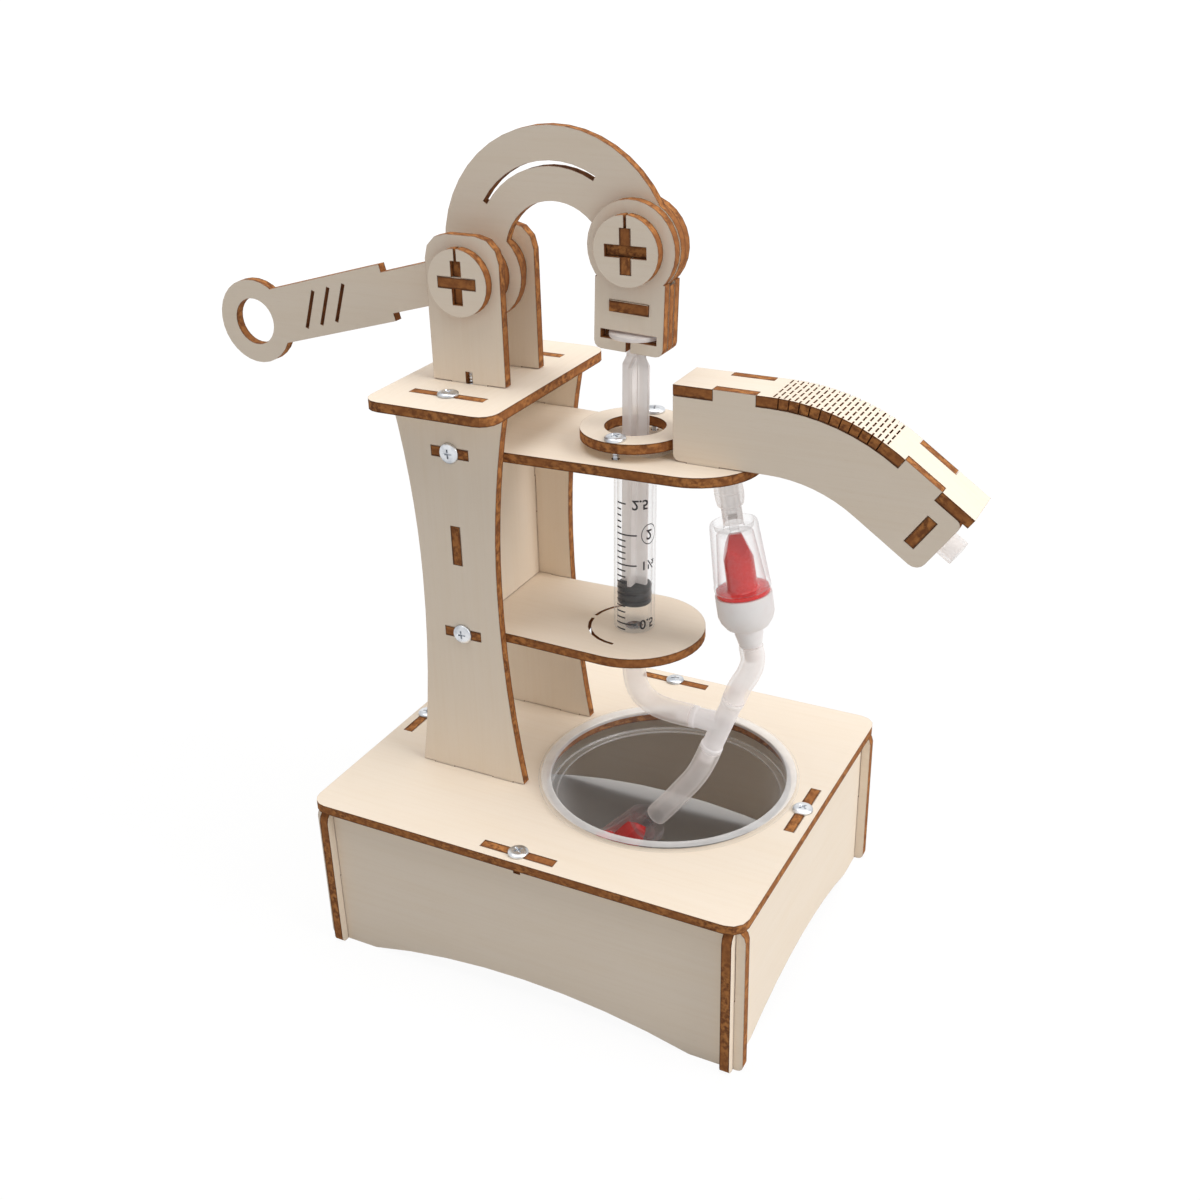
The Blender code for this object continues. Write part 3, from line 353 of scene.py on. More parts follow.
def plasticFinish(kind):
    look, grain = plasticLook[kind], moulded
    made = Finish(bpy.data.materials.new(kind))
    cloud = made.noise(made.place, grain["cloudScale"], detail=3.0)
    fine = made.noise(made.place, grain["fineScale"])
    # Painted shade: the colour goes towards the shade where the surface turns away, on top of random
    # clouding
    cloudAndPaintedRimShade = cloud.ramp(*grain["cloudSpan"]) * grain["cloudShare"] + made.rim() * grain["paintedRimShadeShare"]
    colour = made.mix(cloudAndPaintedRimShade, look["tint"], look["shade"])
    height = cloud + fine * grain["fineHeight"]
    sockets = {
        "Base Color": colour,
        "Roughness": cloud * grain["cloudRoughness"] + look["gloss"] + fine * grain["fineRoughness"],
        "Normal": made.bump(height, grain["bumpDepth"], grain["bumpStrength"]),
    }
    if look["least"] < 1:
        turnedAway = made.rim(grain["thinBlend"]).ramp(*grain["thinSpan"])
        thin = turnedAway * (look["most"] - look["least"]) + look["least"]
        if kind == "cup":
            # The cup adds its frosted lip band, which is also a painted highlight, and its painted highlight
            # ring at the ledge
            thin = thin + frostAndHighlightShare(made)
        sockets["Alpha"] = thin
    # Painted glow, standing in for light let through the plastic
    if kind in paintedGlow:
        sockets["Emission Color"] = colour
        sockets["Emission Strength"] = paintedGlow[kind]
    if kind in lacquer["kinds"]:
        sockets["Coat Weight"] = lacquer["weight"]
        sockets["Coat Roughness"] = lacquer["roughness"]
    return made.surface(sockets)


metalLook = {"bright": tone(226, 228, 231), "dull": tone(178, 182, 188), "roughness": 0.2, "spread": 0.2,
             "brushScale": 1800, "cloudScale": 300, "cloudSpan": (0.35, 0.7),
             "bumpDepth": 0.04, "bumpStrength": 0.25}
inkLook = {"dark": tone(34, 32, 34), "worn": tone(74, 70, 72), "roughness": 0.45, "spread": 0.15,
           "wearScale": 5200, "wearSpan": (0.4, 0.8)}


def zincFinish():
    look = metalLook
    made = Finish(bpy.data.materials.new("zinc"))
    brushed = made.noise(made.place, look["brushScale"], detail=3.0, roughness=0.65)
    cloud = made.noise(made.place, look["cloudScale"])
    return made.surface({
        "Base Color": made.mix(cloud.ramp(*look["cloudSpan"]), look["bright"], look["dull"]),
        "Metallic": 1.0,
        "Roughness": brushed * look["spread"] + look["roughness"],
        "Normal": made.bump(brushed, look["bumpDepth"], look["bumpStrength"]),
    })


def inkFinish():
    look = inkLook
    made = Finish(bpy.data.materials.new("ink"))
    worn = made.noise(made.place, look["wearScale"])
    return made.surface({
        "Base Color": made.mix(worn.ramp(*look["wearSpan"]), look["dark"], look["worn"]),
        "Roughness": worn * look["spread"] + look["roughness"],
    })


finishes = {kind: plasticFinish(kind) for kind in plasticLook}
finishes["zinc"] = zincFinish()
finishes["ink"] = inkFinish()
print("finishes made")


# A profile of (radius, height) pairs in mm, turned about the upright axis
def turn(profile, steps=96, closed=False):
    made = bmesh.new()
    points = [made.verts.new((radius * mm, 0, height * mm)) for radius, height in profile]
    edges = [made.edges.new(pair) for pair in zip(points, points[1:])]
    if closed:
        edges.append(made.edges.new((points[-1], points[0])))
    bmesh.ops.spin(made, geom=points + edges, cent=(0, 0, 0), axis=(0, 0, 1), angle=2 * math.pi,
                   steps=steps, use_merge=True)
    bmesh.ops.remove_doubles(made, verts=made.verts, dist=0.001 * mm)
    bmesh.ops.recalc_face_normals(made, faces=made.faces)
    return made


def soften(made, width, segments=2, sharper=30):
    limit = math.radians(sharper)
    edges = [edge for edge in made.edges if len(edge.link_faces) == 2 and edge.calc_face_angle() > limit]
    bmesh.ops.bevel(made, geom=edges, offset=width * mm, offset_type="OFFSET", segments=segments,
                    profile=0.5, affect="EDGES", clamp_overlap=True, material=-1)
    return made


# Puts a finished mesh in the scene, on its body and in place of the nodes that it stands for
def shown(name, made, finish, body, stands=(), sharp=35):
    mesh = bpy.data.meshes.new(name)
    made.to_mesh(mesh)
    made.free()
    mesh.materials.append(finishes.get(finish) or finish)
    mesh.shade_smooth()
    mesh.set_sharp_from_angle(angle=math.radians(sharp))
    piece = bpy.data.objects.new(name, mesh)
    bpy.context.collection.objects.link(piece)
    if stands:
        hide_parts(*stands)
    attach(piece, body)
    return piece


def carve(made, tool, operation="DIFFERENCE"):
    pair = []
    for shape in (made, tool):
        mesh = bpy.data.meshes.new("carving")
        shape.to_mesh(mesh)
        shape.free()
        pair.append(bpy.data.objects.new("carving", mesh))
        bpy.context.collection.objects.link(pair[-1])
    change = pair[0].modifiers.new("carving", "BOOLEAN")
    change.operation = operation
    change.solver = "EXACT"
    change.object = pair[1]
    result = bmesh.new()
    result.from_object(pair[0], bpy.context.evaluated_depsgraph_get())
    for thing in pair:
        bpy.data.objects.remove(thing)
    return result


# The mesh of a curve or of text, which then goes
def meshed(line):
    holder = bpy.data.objects.new("line", line)
    bpy.context.collection.objects.link(holder)
    graph = bpy.context.evaluated_depsgraph_get()
    mesh = bpy.data.meshes.new_from_object(holder.evaluated_get(graph))
    made = bmesh.new()
    made.from_mesh(mesh)
    bpy.data.objects.remove(holder)
    bpy.data.meshes.remove(mesh)
    return made


# Cuts away what lies past a plane and closes the cut
def sliced(made, place, normal):
    everything = made.verts[:] + made.edges[:] + made.faces[:]
    bmesh.ops.bisect_plane(made, geom=everything, dist=0.001 * mm, plane_co=place, plane_no=normal,
                           clear_outer=True)
    bmesh.ops.holes_fill(made, edges=[edge for edge in made.edges if edge.is_boundary], sides=0)


# Turns a piece made upright so that it stands on its foot and points at the target
def pointing(foot, target):
    return Matrix.Translation(foot) @ (target - foot).to_track_quat("Z", "Y").to_matrix().to_4x4()


def block(length, width, height, place):
    made = bmesh.new()
    bmesh.ops.create_cube(made, size=1)
    bmesh.ops.scale(made, vec=(length * mm, width * mm, height * mm), verts=made.verts)
    bmesh.ops.translate(made, vec=Vector(place) * mm, verts=made.verts)
    return made


# Pan-head wood screws with a cross recess
screwLook = {
    "headRadius": 2.6,
    "solidHead": 1.9,
    "headHeight": 0.95,
    "headBand": 0.3,
    "lift": 0.1,
    "shankRadius": 0.75,
    "threadDepth": 0.15,
    "threadPitch": 0.8,
    "threadStart": 0.8,
    "threadRise": (0.3, 0.55),
    "threadMargin": 1.0,
    "tipLength": 0.7,
    "tipShare": 0.5,
    "domeSteps": 8,
    "flatShare": 0.5,
    "recessLength": 3.1,
    "recessWidth": 0.6,
    "recessDepth": 0.6,
    "recessTaper": 0.55,
    "plainLength": 5.2,
    "ringLength": 8.0,
    "cheekLength": 7.4,
    "firstTurn": 20,
    "turnStep": 37,
    "turns": 5,
}


def screwShape(length):
    look = screwLook
    shank, head, pitch = look["shankRadius"], look["headRadius"], look["threadPitch"]
    dip, crest = look["threadRise"]
    bandTop, top = look["lift"] + look["headBand"], look["lift"] + look["headHeight"]
    profile = [(0, -length), (shank * look["tipShare"], -length), (shank, -length + look["tipLength"])]
    for i in range(int((length - look["threadMargin"]) / pitch)):
        height = -length + look["threadStart"] + i * pitch
        profile += [(shank - look["threadDepth"], height + pitch * dip), (shank, height + pitch * crest)]
    profile += [(shank, look["lift"]), (head, look["lift"]), (head, bandTop)]
    steps, flat = look["domeSteps"], look["flatShare"]
    for i in range(1, steps + 1):
        turned = math.radians(90 * i / steps)
        rise = (look["headHeight"] - look["headBand"]) * math.sin(turned)
        profile.append((head * (flat + (1 - flat) * math.cos(turned)), bandTop + rise))
    profile.append((0, top))
    made = turn(profile, steps=48)
    long, narrow, taper = look["recessLength"], look["recessWidth"], look["recessTaper"]
    for across, deep in ((long, narrow), (narrow, long)):
        tool = block(across, deep, look["recessDepth"] * 2, (0, 0, top))
        lowest = [vert for vert in tool.verts if vert.co.z < top * mm]
        bmesh.ops.scale(tool, vec=(taper, taper, 1), verts=lowest)
        made = carve(made, tool)
    return made


# Each screw's name, the place under its head, the way its head faces, its length and its node.
# The shelves' rear screws and the cheeks' screws have no node.
def screwPlaces():
    look = screwLook
    out, front, back = Vector((0, 0, 1)), Vector((0, -1, 0)), Vector((0, 1, 0))
    places = []
    for node in slots:
        if slots[node] != "zinc":
            continue
        middle = centreOf(node)
        low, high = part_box(node)
        if "shelf" in node:
            way, tip = front, Vector((middle.x, low.y, middle.z))
        else:
            way, tip = out, Vector((middle.x, middle.y, high.z))
        start = tip - way * look["solidHead"] * mm
        length = look["ringLength"] if "ring" in node else look["plainLength"]
        places.append((node, start, way, length, (node,)))
        if "shelf" in node:
            rear = Vector((start.x, -start.y, start.z))
            places.append((node + "_rear", rear, back, length, ()))
    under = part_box("tower_head")[0].z
    for side, cheek in (("front", "front_cheek"), ("rear", "rear_cheek")):
        place = Vector((centreOf(cheek).x, centreOf(cheek).y, under))
        places.append(("cheek_screw_" + side, place, -out, look["cheekLength"], ()))
    return places


# Screws of one length share a shape, and their recesses are turned in several ways
screwMeshes = {}
for name, place, way, length, stands in screwPlaces():
    if length not in screwMeshes:
        screwMeshes[length] = screwShape(length)
    made = screwMeshes[length].copy()
    turned = screwLook["firstTurn"] + screwLook["turnStep"] * (len(name) % screwLook["turns"])
    made.transform(pointing(place, place + way) @ Matrix.Rotation(math.radians(turned), 4, "Z"))
    shown(name.replace("_screw", "Screw") + "_head", made, "zinc", "frame", stands, sharp=28)
print("screws made")


# Clear cup let into the deck
cupLook = {
    "mouthRadius": 30.8,
    "rimRadius": 34.2,
    "floorRadius": 25.5,
    "wall": 1.1,
    "rimUnder": 44.8,
    "rimTop": 46.0,
    "ledgeDepth": 6.0,
    "step": 1.3,
    "floor": 3.4,
    "roundness": 0.35,
}


def cupShape():
    look = cupLook
    ledge = look["rimTop"] - look["ledgeDepth"]
    outer = look["mouthRadius"] + look["wall"]
    floorOuter = look["floorRadius"] + look["wall"]
    step, wall, floor = look["step"], look["wall"], look["floor"]
    mouth, rim, bottom, rimTop = look["mouthRadius"], look["rimRadius"], look["floorRadius"], look["rimTop"]
    outside = [(0, floor - wall), (floorOuter - step, floor - wall), (floorOuter, floor),
               (outer - step, ledge - wall), (outer, ledge), (outer, look["rimUnder"])]
    flange = [(rim, look["rimUnder"]), (rim, rimTop), (mouth, rimTop)]
    inside = [(mouth, ledge), (mouth - step, ledge), (bottom, floor + wall / 2), (bottom - step, floor),
              (0, floor)]
    profile = outside + flange + inside
    made = soften(turn(profile, steps=144), look["roundness"], segments=3, sharper=25)
    made.transform(Matrix.Translation((centreOf("cup").x, 0, 0)))
    return made


shown("cup_shell", cupShape(), "cup", "frame", ("cup",), sharp=40)
print("cup made")


# Syringe, its printed scale, rod and seal, all in the barrel's own leaning frame
syringeLook = {
    "rock": (69.7, 86.0),
    "lean": 1.3,
    "radius": 5.2,
    "bore": 4.4,
    "foot": 1.65,
    "floor": 2.45,
    "flangeLow": 50.55,
    "flangeThick": 1.1,
    "flangeRadius": 11.3,
    "flangeHalf": 8.4,
    "nozzleRadius": 1.55,
    "nozzleBore": 0.8,
    "nozzleLength": 9.0,
    "nozzleTaper": 0.2,
    "softness": 0.3,
}
barrelPlace = Matrix.Translation(kit(*syringeLook["rock"]))
barrelPlace = barrelPlace @ Matrix.Rotation(math.radians(syringeLook["lean"]), 4, "Y")


def barrelShape():
    look = syringeLook
    low, top, wide = look["flangeLow"], look["flangeLow"] + look["flangeThick"], look["flangeRadius"]
    hole, tip, foot = look["nozzleBore"], -look["nozzleLength"], look["foot"]
    nozzle = [(hole, tip), (look["nozzleRadius"] - look["nozzleTaper"], tip), (look["nozzleRadius"], foot)]
    outside = [(look["radius"], foot), (look["radius"], low), (wide, low), (wide, top)]
    inside = [(look["bore"], top), (look["bore"], look["floor"]), (hole, look["floor"])]
    made = turn(nozzle + outside + inside, closed=True)
    for side in (-1, 1):
        sliced(made, Vector((0, side * look["flangeHalf"] * mm, 0)), Vector((0, side, 0)))
    bmesh.ops.recalc_face_normals(made, faces=made.faces)
    soften(made, look["softness"], segments=3, sharper=50)
    made.transform(barrelPlace)
    return made


shown("syringe_tube", barrelShape(), "clear", "syringe", ("syringe_barrel",), sharp=40)

# Printed marks go round the barrel's front. The numbers are upside down and reversed, as in the photo.
# Lengths and number places round the barrel are in degrees from the middle of the scale.
scaleLook = {
    "towards": -62.3,
    "lift": 0.03,
    "halfMark": 4.1,
    "perMillilitre": 16.2,
    "left": -57,
    "markWidth": 0.4,
    "boldness": 0.07,
    "tenths": (4, 25),
    "shortPast": 20,
    "ringed": 2.0,
    "lengths": {"short": -42, "middle": -28, "long": 3},
    "numbers": {2.5: ("2.5", 12, 3.5), 2.0: ("2", 39, 3.6), 1.5: ("1½", 38, 3.2), 0.5: ("0.5", 36, 3.6)},
    "ringRadius": 2.7,
    "ringInner": 0.91,
    "ringNarrow": 0.82,
}


# Rolls a flat mark onto the barrel
def wrapped(made):
    radius = (syringeLook["radius"] + scaleLook["lift"]) * mm
    for vert in made.verts:
        turned = math.radians(scaleLook["towards"]) + vert.co.x / radius
        vert.co = Vector((radius * math.cos(turned), radius * math.sin(turned), vert.co.y))
    return made


def flatMark(centre, height, length, width):
    made = bmesh.new()
    bmesh.ops.create_grid(made, x_segments=10, y_segments=1, size=0.5)
    bmesh.ops.scale(made, vec=(length * mm, width * mm, 1), verts=made.verts)
    bmesh.ops.translate(made, vec=(centre * mm, height * mm, 0), verts=made.verts)
    return made


def flatNumber(text, centre, height, size):
    words = bpy.data.curves.new("number", "FONT")
    words.body = text
    words.size = size * mm
    words.offset = scaleLook["boldness"] * mm
    words.align_x = "CENTER"
    words.align_y = "CENTER"
    words.resolution_u = 4
    made = meshed(words)
    bmesh.ops.subdivide_edges(made, edges=made.edges[:], cuts=2, use_grid_fill=True)
    bmesh.ops.triangulate(made, faces=made.faces)
    bmesh.ops.scale(made, vec=(1, -1, 1), verts=made.verts)
    bmesh.ops.reverse_faces(made, faces=made.faces)
    bmesh.ops.translate(made, vec=(centre * mm, height * mm, 0), verts=made.verts)
    return made


def scaleShape():
    look = scaleLook
    arcLength = math.radians(1) * syringeLook["radius"]
    first, last = look["tenths"]
    flats = []

    def heightOf(amount):
        return look["halfMark"] + (amount - 0.5) * look["perMillilitre"]

    for i in range(first, last + 1):
        amount = i / 10
        height = heightOf(amount)
        kind = "short" if look["shortPast"] < i < last else "middle"
        if i % 5 == 0 and i < last:
            kind = "long"
        start, end = look["left"] * arcLength, look["lengths"][kind] * arcLength
        flats.append(flatMark((start + end) / 2, height, end - start, look["markWidth"]))
        if amount in look["numbers"]:
            text, angle, size = look["numbers"][amount]
            flats.append(flatNumber(text, angle * arcLength, height, size))
    ringHeight = heightOf(look["ringed"])
    ringCentre = look["numbers"][look["ringed"]][1] * arcLength
    ring = bmesh.new()
    bmesh.ops.create_circle(ring, segments=48, radius=look["ringRadius"] * mm)
    grown = bmesh.ops.extrude_edge_only(ring, edges=ring.edges[:])
    inner = [item for item in grown["geom"] if isinstance(item, bmesh.types.BMVert)]
    bmesh.ops.scale(ring, vec=(look["ringInner"], look["ringInner"], 1), verts=inner)
    bmesh.ops.scale(ring, vec=(look["ringNarrow"], 1, 1), verts=ring.verts)
    bmesh.ops.translate(ring, vec=(ringCentre * mm, ringHeight * mm, 0), verts=ring.verts)
    flats.append(ring)
    whole = bmesh.new()
    for flat in flats:
        mesh = bpy.data.meshes.new("mark")
        wrapped(flat).to_mesh(mesh)
        flat.free()
        whole.from_mesh(mesh)
        bpy.data.meshes.remove(mesh)
    whole.transform(barrelPlace)
    return whole


shown("syringe_scale", scaleShape(), "ink", "syringe")

rodLook = {
    "low": 13.45,
    "neckLow": 71.48,
    "flangeLow": 76.48,
    "flangeThick": 1.1,
    "flangeRadius": 6.3,
    "half": 3.35,
    "rib": 1.1,
    "neckHalf": 2.5,
    "neckDepth": 1.15,
    "taper": 2.0,
    "sunk": 0.2,
    "softness": 0.18,
    "flangeSoftness": 0.25,
}


def rodShape():
    look = rodLook
    rib, half, taper = look["rib"] / 2, look["half"], look["taper"]
    corners = [(rib, rib), (half, rib), (half, -rib), (rib, -rib), (rib, -half), (-rib, -half), (-rib, -rib),
               (-half, -rib), (-half, rib), (-rib, rib), (-rib, half), (rib, half)]
    made = bmesh.new()
    face = made.faces.new([made.verts.new((x * mm, y * mm, look["low"] * mm)) for x, y in corners])
    tops = [face]
    steps = ((look["neckLow"] - taper - look["low"], 1, 1),
             (taper, look["neckHalf"] / half, look["neckDepth"] / half),
             (look["flangeLow"] - look["neckLow"] + look["sunk"], 1, 1))
    for rise, across, deep in steps:
        grown = bmesh.ops.extrude_face_region(made, geom=tops)
        lifted = [item for item in grown["geom"] if isinstance(item, bmesh.types.BMVert)]
        bmesh.ops.translate(made, vec=(0, 0, rise * mm), verts=lifted)
        bmesh.ops.scale(made, vec=(across, deep, 1), verts=lifted)
        tops = [item for item in grown["geom"] if isinstance(item, bmesh.types.BMFace)]
    bmesh.ops.recalc_face_normals(made, faces=made.faces)
    soften(made, look["softness"], sharper=50)
    wide, foot, top = look["flangeRadius"], look["flangeLow"], look["flangeLow"] + look["flangeThick"]
    disc = turn([(0, foot), (wide, foot), (wide, top), (0, top)], steps=64)
    soften(disc, look["flangeSoftness"])
    made = carve(made, disc, "UNION")
    made.transform(barrelPlace)
    return made


shown("plunger_rod", rodShape(), "rod", "plunger", ("plunger",))

sealLook = {"low": 7.95, "high": 13.25, "radius": 4.25, "groove": 3.6, "lip": 1.2, "slant": 0.3, "dome": 0.5,
            "domeShare": 0.6, "rib": 0.4, "topSlope": (0.2, 0.3), "softness": 0.12}


def sealShape():
    look = sealLook
    radius, groove, low, high, rib = look["radius"], look["groove"], look["low"], look["high"], look["rib"]
    lip, slant = look["lip"], look["slant"]
    drop, inset = look["topSlope"]
    middle = (low + high) / 2
    foot = [(0, low), (radius * look["domeShare"], low), (radius, low + look["dome"]), (radius, low + lip)]
    waist = [(groove, low + lip + slant), (radius, middle - rib), (radius, middle + rib),
             (groove, high - lip - slant)]
    head = [(radius, high - lip), (radius, high - drop), (radius - inset, high), (0, high)]
    made = soften(turn(foot + waist + head, steps=72), look["softness"])
    made.transform(barrelPlace)
    return made


shown("seal", sealShape(), "rubber", "plunger", ("plunger_seal",))
print("syringe made")


hoseLook = {"radius": 3.0, "wall": 0.9, "smoothness": 14, "sides": 7}
spoutHose = {"radius": 40.85, "steps": 3, "runs": (8.0, 14.0, 22.6)}


# A point on the spout's bend, or past its end along the slope
def bendPoint(angle, radius, along=0.0):
    turned = math.radians(angle)
    x = spoutBend["start"] + radius * math.sin(turned) + along * math.cos(turned)
    return (x, spoutBend["centre"] + radius * math.cos(turned) - along * math.sin(turned))


def spoutRoute():
    slope, radius, steps = spoutBend["slope"], spoutHose["radius"], spoutHose["steps"]
    bend = [bendPoint(slope * i / steps, radius) for i in range(steps + 1)]
    return bend + [bendPoint(slope, radius, along) for along in spoutHose["runs"]]


routes = {
    "nozzle_hose": [(69.7, 84.3), (69.6, 78.5), (69.7, 72.5), (71.1, 68.4), (74.2, 65.9), (78.6, 64.8),
                    (85.7, 64.55)],
    "riser_hose": [(97.1, 72.4), (98.6, 76.3), (100.7, 80.4), (101.8, 84.4), (101.23, 88.4)],
    "inlet_hose": [(90.93, 56.2), (89.5, 52.4), (86.7, 46.6), (82.8, 40.9), (78.7, 35.2), (75.55, 31.2)],
    "spout_hose": [(93.38, 136.6), (92.98, 139.6), (94.38, 142.4), (98.98, 143.6)] + spoutRoute(),
}


def hoseShape(route):
    line = bpy.data.curves.new("hose", "CURVE")
    line.dimensions = "3D"
    line.resolution_u = hoseLook["smoothness"]
    line.bevel_depth = hoseLook["radius"] * mm
    line.bevel_resolution = hoseLook["sides"]
    spline = line.splines.new("BEZIER")
    spline.bezier_points.add(len(route) - 1)
    for point, place in zip(spline.bezier_points, route):
        point.co = kit(*place)
        point.handle_left_type = "AUTO"
        point.handle_right_type = "AUTO"
    made = meshed(line)
    bmesh.ops.remove_doubles(made, verts=made.verts, dist=0.001 * mm)
    bmesh.ops.recalc_face_normals(made, faces=made.faces)
    return made


for name, route in routes.items():
    piece = shown(name + "_tube", hoseShape(route), "milky", "frame", (name,), sharp=50)
    wall = piece.modifiers.new("wall", "SOLIDIFY")
    wall.thickness = hoseLook["wall"] * mm
    wall.offset = -1

# Tee with a raised band where each hose is pushed on
teeLook = {"low": (91.0, 56.4), "high": (97.0, 72.2), "left": (85.9, 64.55), "radius": 2.7, "spigot": 1.8,
           "overlap": 4.0, "band": 0.25, "bandLength": 1.1, "bandSlope": 0.3, "softness": 0.15}


def teeShape():
    look = teeLook
    low, high, left = (kit(*look[end]) for end in ("low", "high", "left"))
    middle = (low + high) / 2
    radius, spigot, overlap = look["radius"], look["spigot"], look["overlap"]
    wide, band, slope = radius + look["band"], look["bandLength"], look["bandSlope"]
    spigotEnd = [(0, -overlap), (spigot, -overlap), (spigot, 0), (wide, 0), (wide, band),
                 (radius, band + slope)]
    arms = []
    for foot, target, both in ((low, high, True), (middle, left, False)):
        length = (target - foot).length / mm
        near = spigotEnd if both else [(0, 0), (radius, 0)]
        far = [(wide, length - band), (wide, length), (spigot, length), (spigot, length + overlap),
               (0, length + overlap)]
        profile = near + [(radius, length - band - slope)] + far
        arm = soften(turn(profile, steps=48), look["softness"])
        arm.transform(pointing(foot, target))
        arms.append(arm)
    return carve(arms[0], arms[1], "UNION")


shown("tee_piece", teeShape(), "tee", "frame", ("tee",), sharp=40)
print("hoses made")


# Check valves, each in its own frame from the foot of its white cap. Profiles are (radius, height) pairs.
valveLook = {
    "outlet": {"foot": (101.2, 88.6), "target": (93.9, 133.4), "stem": 5.4, "base": 8.6, "spigot": 16.0},
    "inlet": {"foot": (57.89, 10.05), "target": (75.4, 31.0), "stem": 0.0, "base": 5.0, "spigot": 4.0},
    "capRadius": 6.9,
    "capSoftness": 0.2,
    "shoulder": 5.2,
    "bowlShare": 0.3,
    "bowlBend": (0.7, 1.3),
    "bowlInset": 0.5,
    "ring": 0.9,
    "ringInset": 0.3,
    "gap": 0.2,
    "body": 17.0,
    "bodyTop": 5.8,
    "bodySoftness": 0.12,
    "skirt": (0.9, 1.2),
    "skirtInset": 0.12,
    "shoulderDrop": (0.9, 0.1),
    "shoulderInset": 0.25,
    "wall": 0.9,
    "wellWall": 1.3,
    "wellSlope": 0.2,
    "roofWall": 1.5,
    "neck": 4.0,
    "neckRadius": 2.45,
    "neckFoot": 0.15,
    "neckInset": 0.1,
    "billRadius": 3.7,
    "billFoot": (0.4, 0.5),
    "billTaper": 0.15,
    "billSoftness": 0.16,
    "billStraight": 9.2,
    "billTip": 14.0,
    "billTipHalf": 0.9,
    "billSideStart": 7.6,
    "billSideHalf": 1.5,
    "billTurn": 28,
    "spigotHole": 1.1,
    "wellDepth": 1.8,
    "roofDepth": 2.9,
    "capStem": [(0, -4), (1.8, -4), (1.8, 0), (2.75, 0), (3.05, 1.5), (3.5, 3.5), (3.5, 4.6), (3.25, 4.9)],
    "sleeve": [(2.95, 0.1), (3.15, 0.45), (3.42, 1.9), (3.5, 3.4), (3.36, 3.65), (3.46, 3.9), (3.36, 5.4),
               (2.9, 7.2), (2.4, 8.6), (2.4, 9.6), (1.9, 9.6)],
    "sleeveDepth": 4.4,
    "sleeveInset": 0.15,
    "sleeveSoftness": 0.1,
}


def capShape(look, this):
    stem, top, wide = this["stem"], this["stem"] + this["base"], look["capRadius"]
    rise = this["base"] * look["bowlShare"]
    lower, upper = look["bowlBend"]
    foot = look["capStem"] + [(look["capStem"][-1][0], stem)] if stem else [(0, 0)]
    bowl = [(look["shoulder"], stem), (wide - look["bowlInset"], stem + rise * lower),
            (wide, stem + rise * upper), (wide, top), (0, top)]
    return soften(turn(foot + bowl), look["capSoftness"], sharper=25)


def billShape(look, start):
    wide, straight, tip = look["billRadius"], look["billStraight"], look["billTip"]
    ringWide, ringTop = look["capRadius"] - look["ringInset"], start + look["ring"]
    spread, rise = look["billFoot"]
    ring = [(0, start), (ringWide, start), (ringWide, ringTop), (wide + spread, ringTop)]
    bill = [(wide, ringTop + rise), (wide - look["billTaper"], ringTop + tip), (0, ringTop + tip)]
    made = turn(ring + bill, steps=72)
    steep = math.atan2(tip - straight, wide - look["billTipHalf"])
    gentle = math.atan2(tip - look["billSideStart"], wide - look["billSideHalf"])
    turned = look["billTurn"]
    for lean, low, way in ((steep, straight, turned), (gentle, look["billSideStart"], turned + 90)):
        for side in (0, 180):
            across = math.radians(way + side)
            outward = Vector((math.cos(across), math.sin(across), 0))
            place = outward * wide * mm + Vector((0, 0, (ringTop + low) * mm))
            sliced(made, place, outward * math.sin(lean) + Vector((0, 0, math.cos(lean))))
    bmesh.ops.recalc_face_normals(made, faces=made.faces)
    return soften(made, look["billSoftness"], sharper=22)


def bodyShape(look, start, spigotTop):
    low, high = start, start + look["body"]
    wide, top, wall, neckWide = look["capRadius"], look["bodyTop"], look["wall"], look["neckRadius"]
    hole, roof, well = look["spigotHole"], high - look["roofDepth"], high - look["wellDepth"]
    skirt, skirtEnd = look["skirt"]
    drop, lip = look["shoulderDrop"]
    narrow = neckWide - look["neckInset"]
    outside = [(wide - wall, low), (wide, low), (wide, low + skirt),
               (wide - look["skirtInset"], low + skirtEnd), (top, high - drop),
               (top - look["shoulderInset"], high - lip), (top - wall, high)]
    sunk = [(top - wall * look["wellWall"], well + look["wellSlope"]), (neckWide + look["neckFoot"], well)]
    neck = [(narrow, high), (narrow, spigotTop), (hole, spigotTop), (hole, roof),
            (top - wall * look["roofWall"], roof)]
    return soften(turn(outside + sunk + neck, closed=True), look["bodySoftness"])


def sleeveShape(look, neckFoot):
    radius, depth = look["neckRadius"], look["sleeveDepth"]
    steps = [(radius - look["sleeveInset"], -depth), (radius, -depth), (radius, 0)] + look["sleeve"]
    profile = [(wide, neckFoot + height) for wide, height in steps]
    return soften(turn(profile, closed=True), look["sleeveSoftness"], sharper=40)


def checkValve(label):
    look, this = valveLook, valveLook[label]
    foot, target = kit(*this["foot"]), kit(*this["target"])
    place = pointing(foot, target)
    capTop = this["stem"] + this["base"]
    ringLow = capTop + look["gap"]
    bodyLow = ringLow + look["ring"] + look["gap"]
    neckTop = bodyLow + look["body"] + look["neck"]
    spigotTop = neckTop + this["spigot"]
    pieces = [
        ("cap", capShape(look, this), "white", "white", ("_valve_base",)),
        ("bill", billShape(look, ringLow), "red", "red", ("_valve_core",)),
        ("housing", bodyShape(look, bodyLow, spigotTop), "glass", "clear", ("_valve_body",)),
    ]
    if label == "outlet":
        pieces.append(("sleeve", sleeveShape(look, neckTop), "milky", "milky", ()))
    for name, made, finish, slot, stands in pieces:
        made.transform(place)
        nodes = [label + end for end in stands]
        shown(label + "_valve_" + name, made, finish, "frame", nodes, sharp=32)


checkValve("outlet")
checkValve("inlet")
print("valves made")


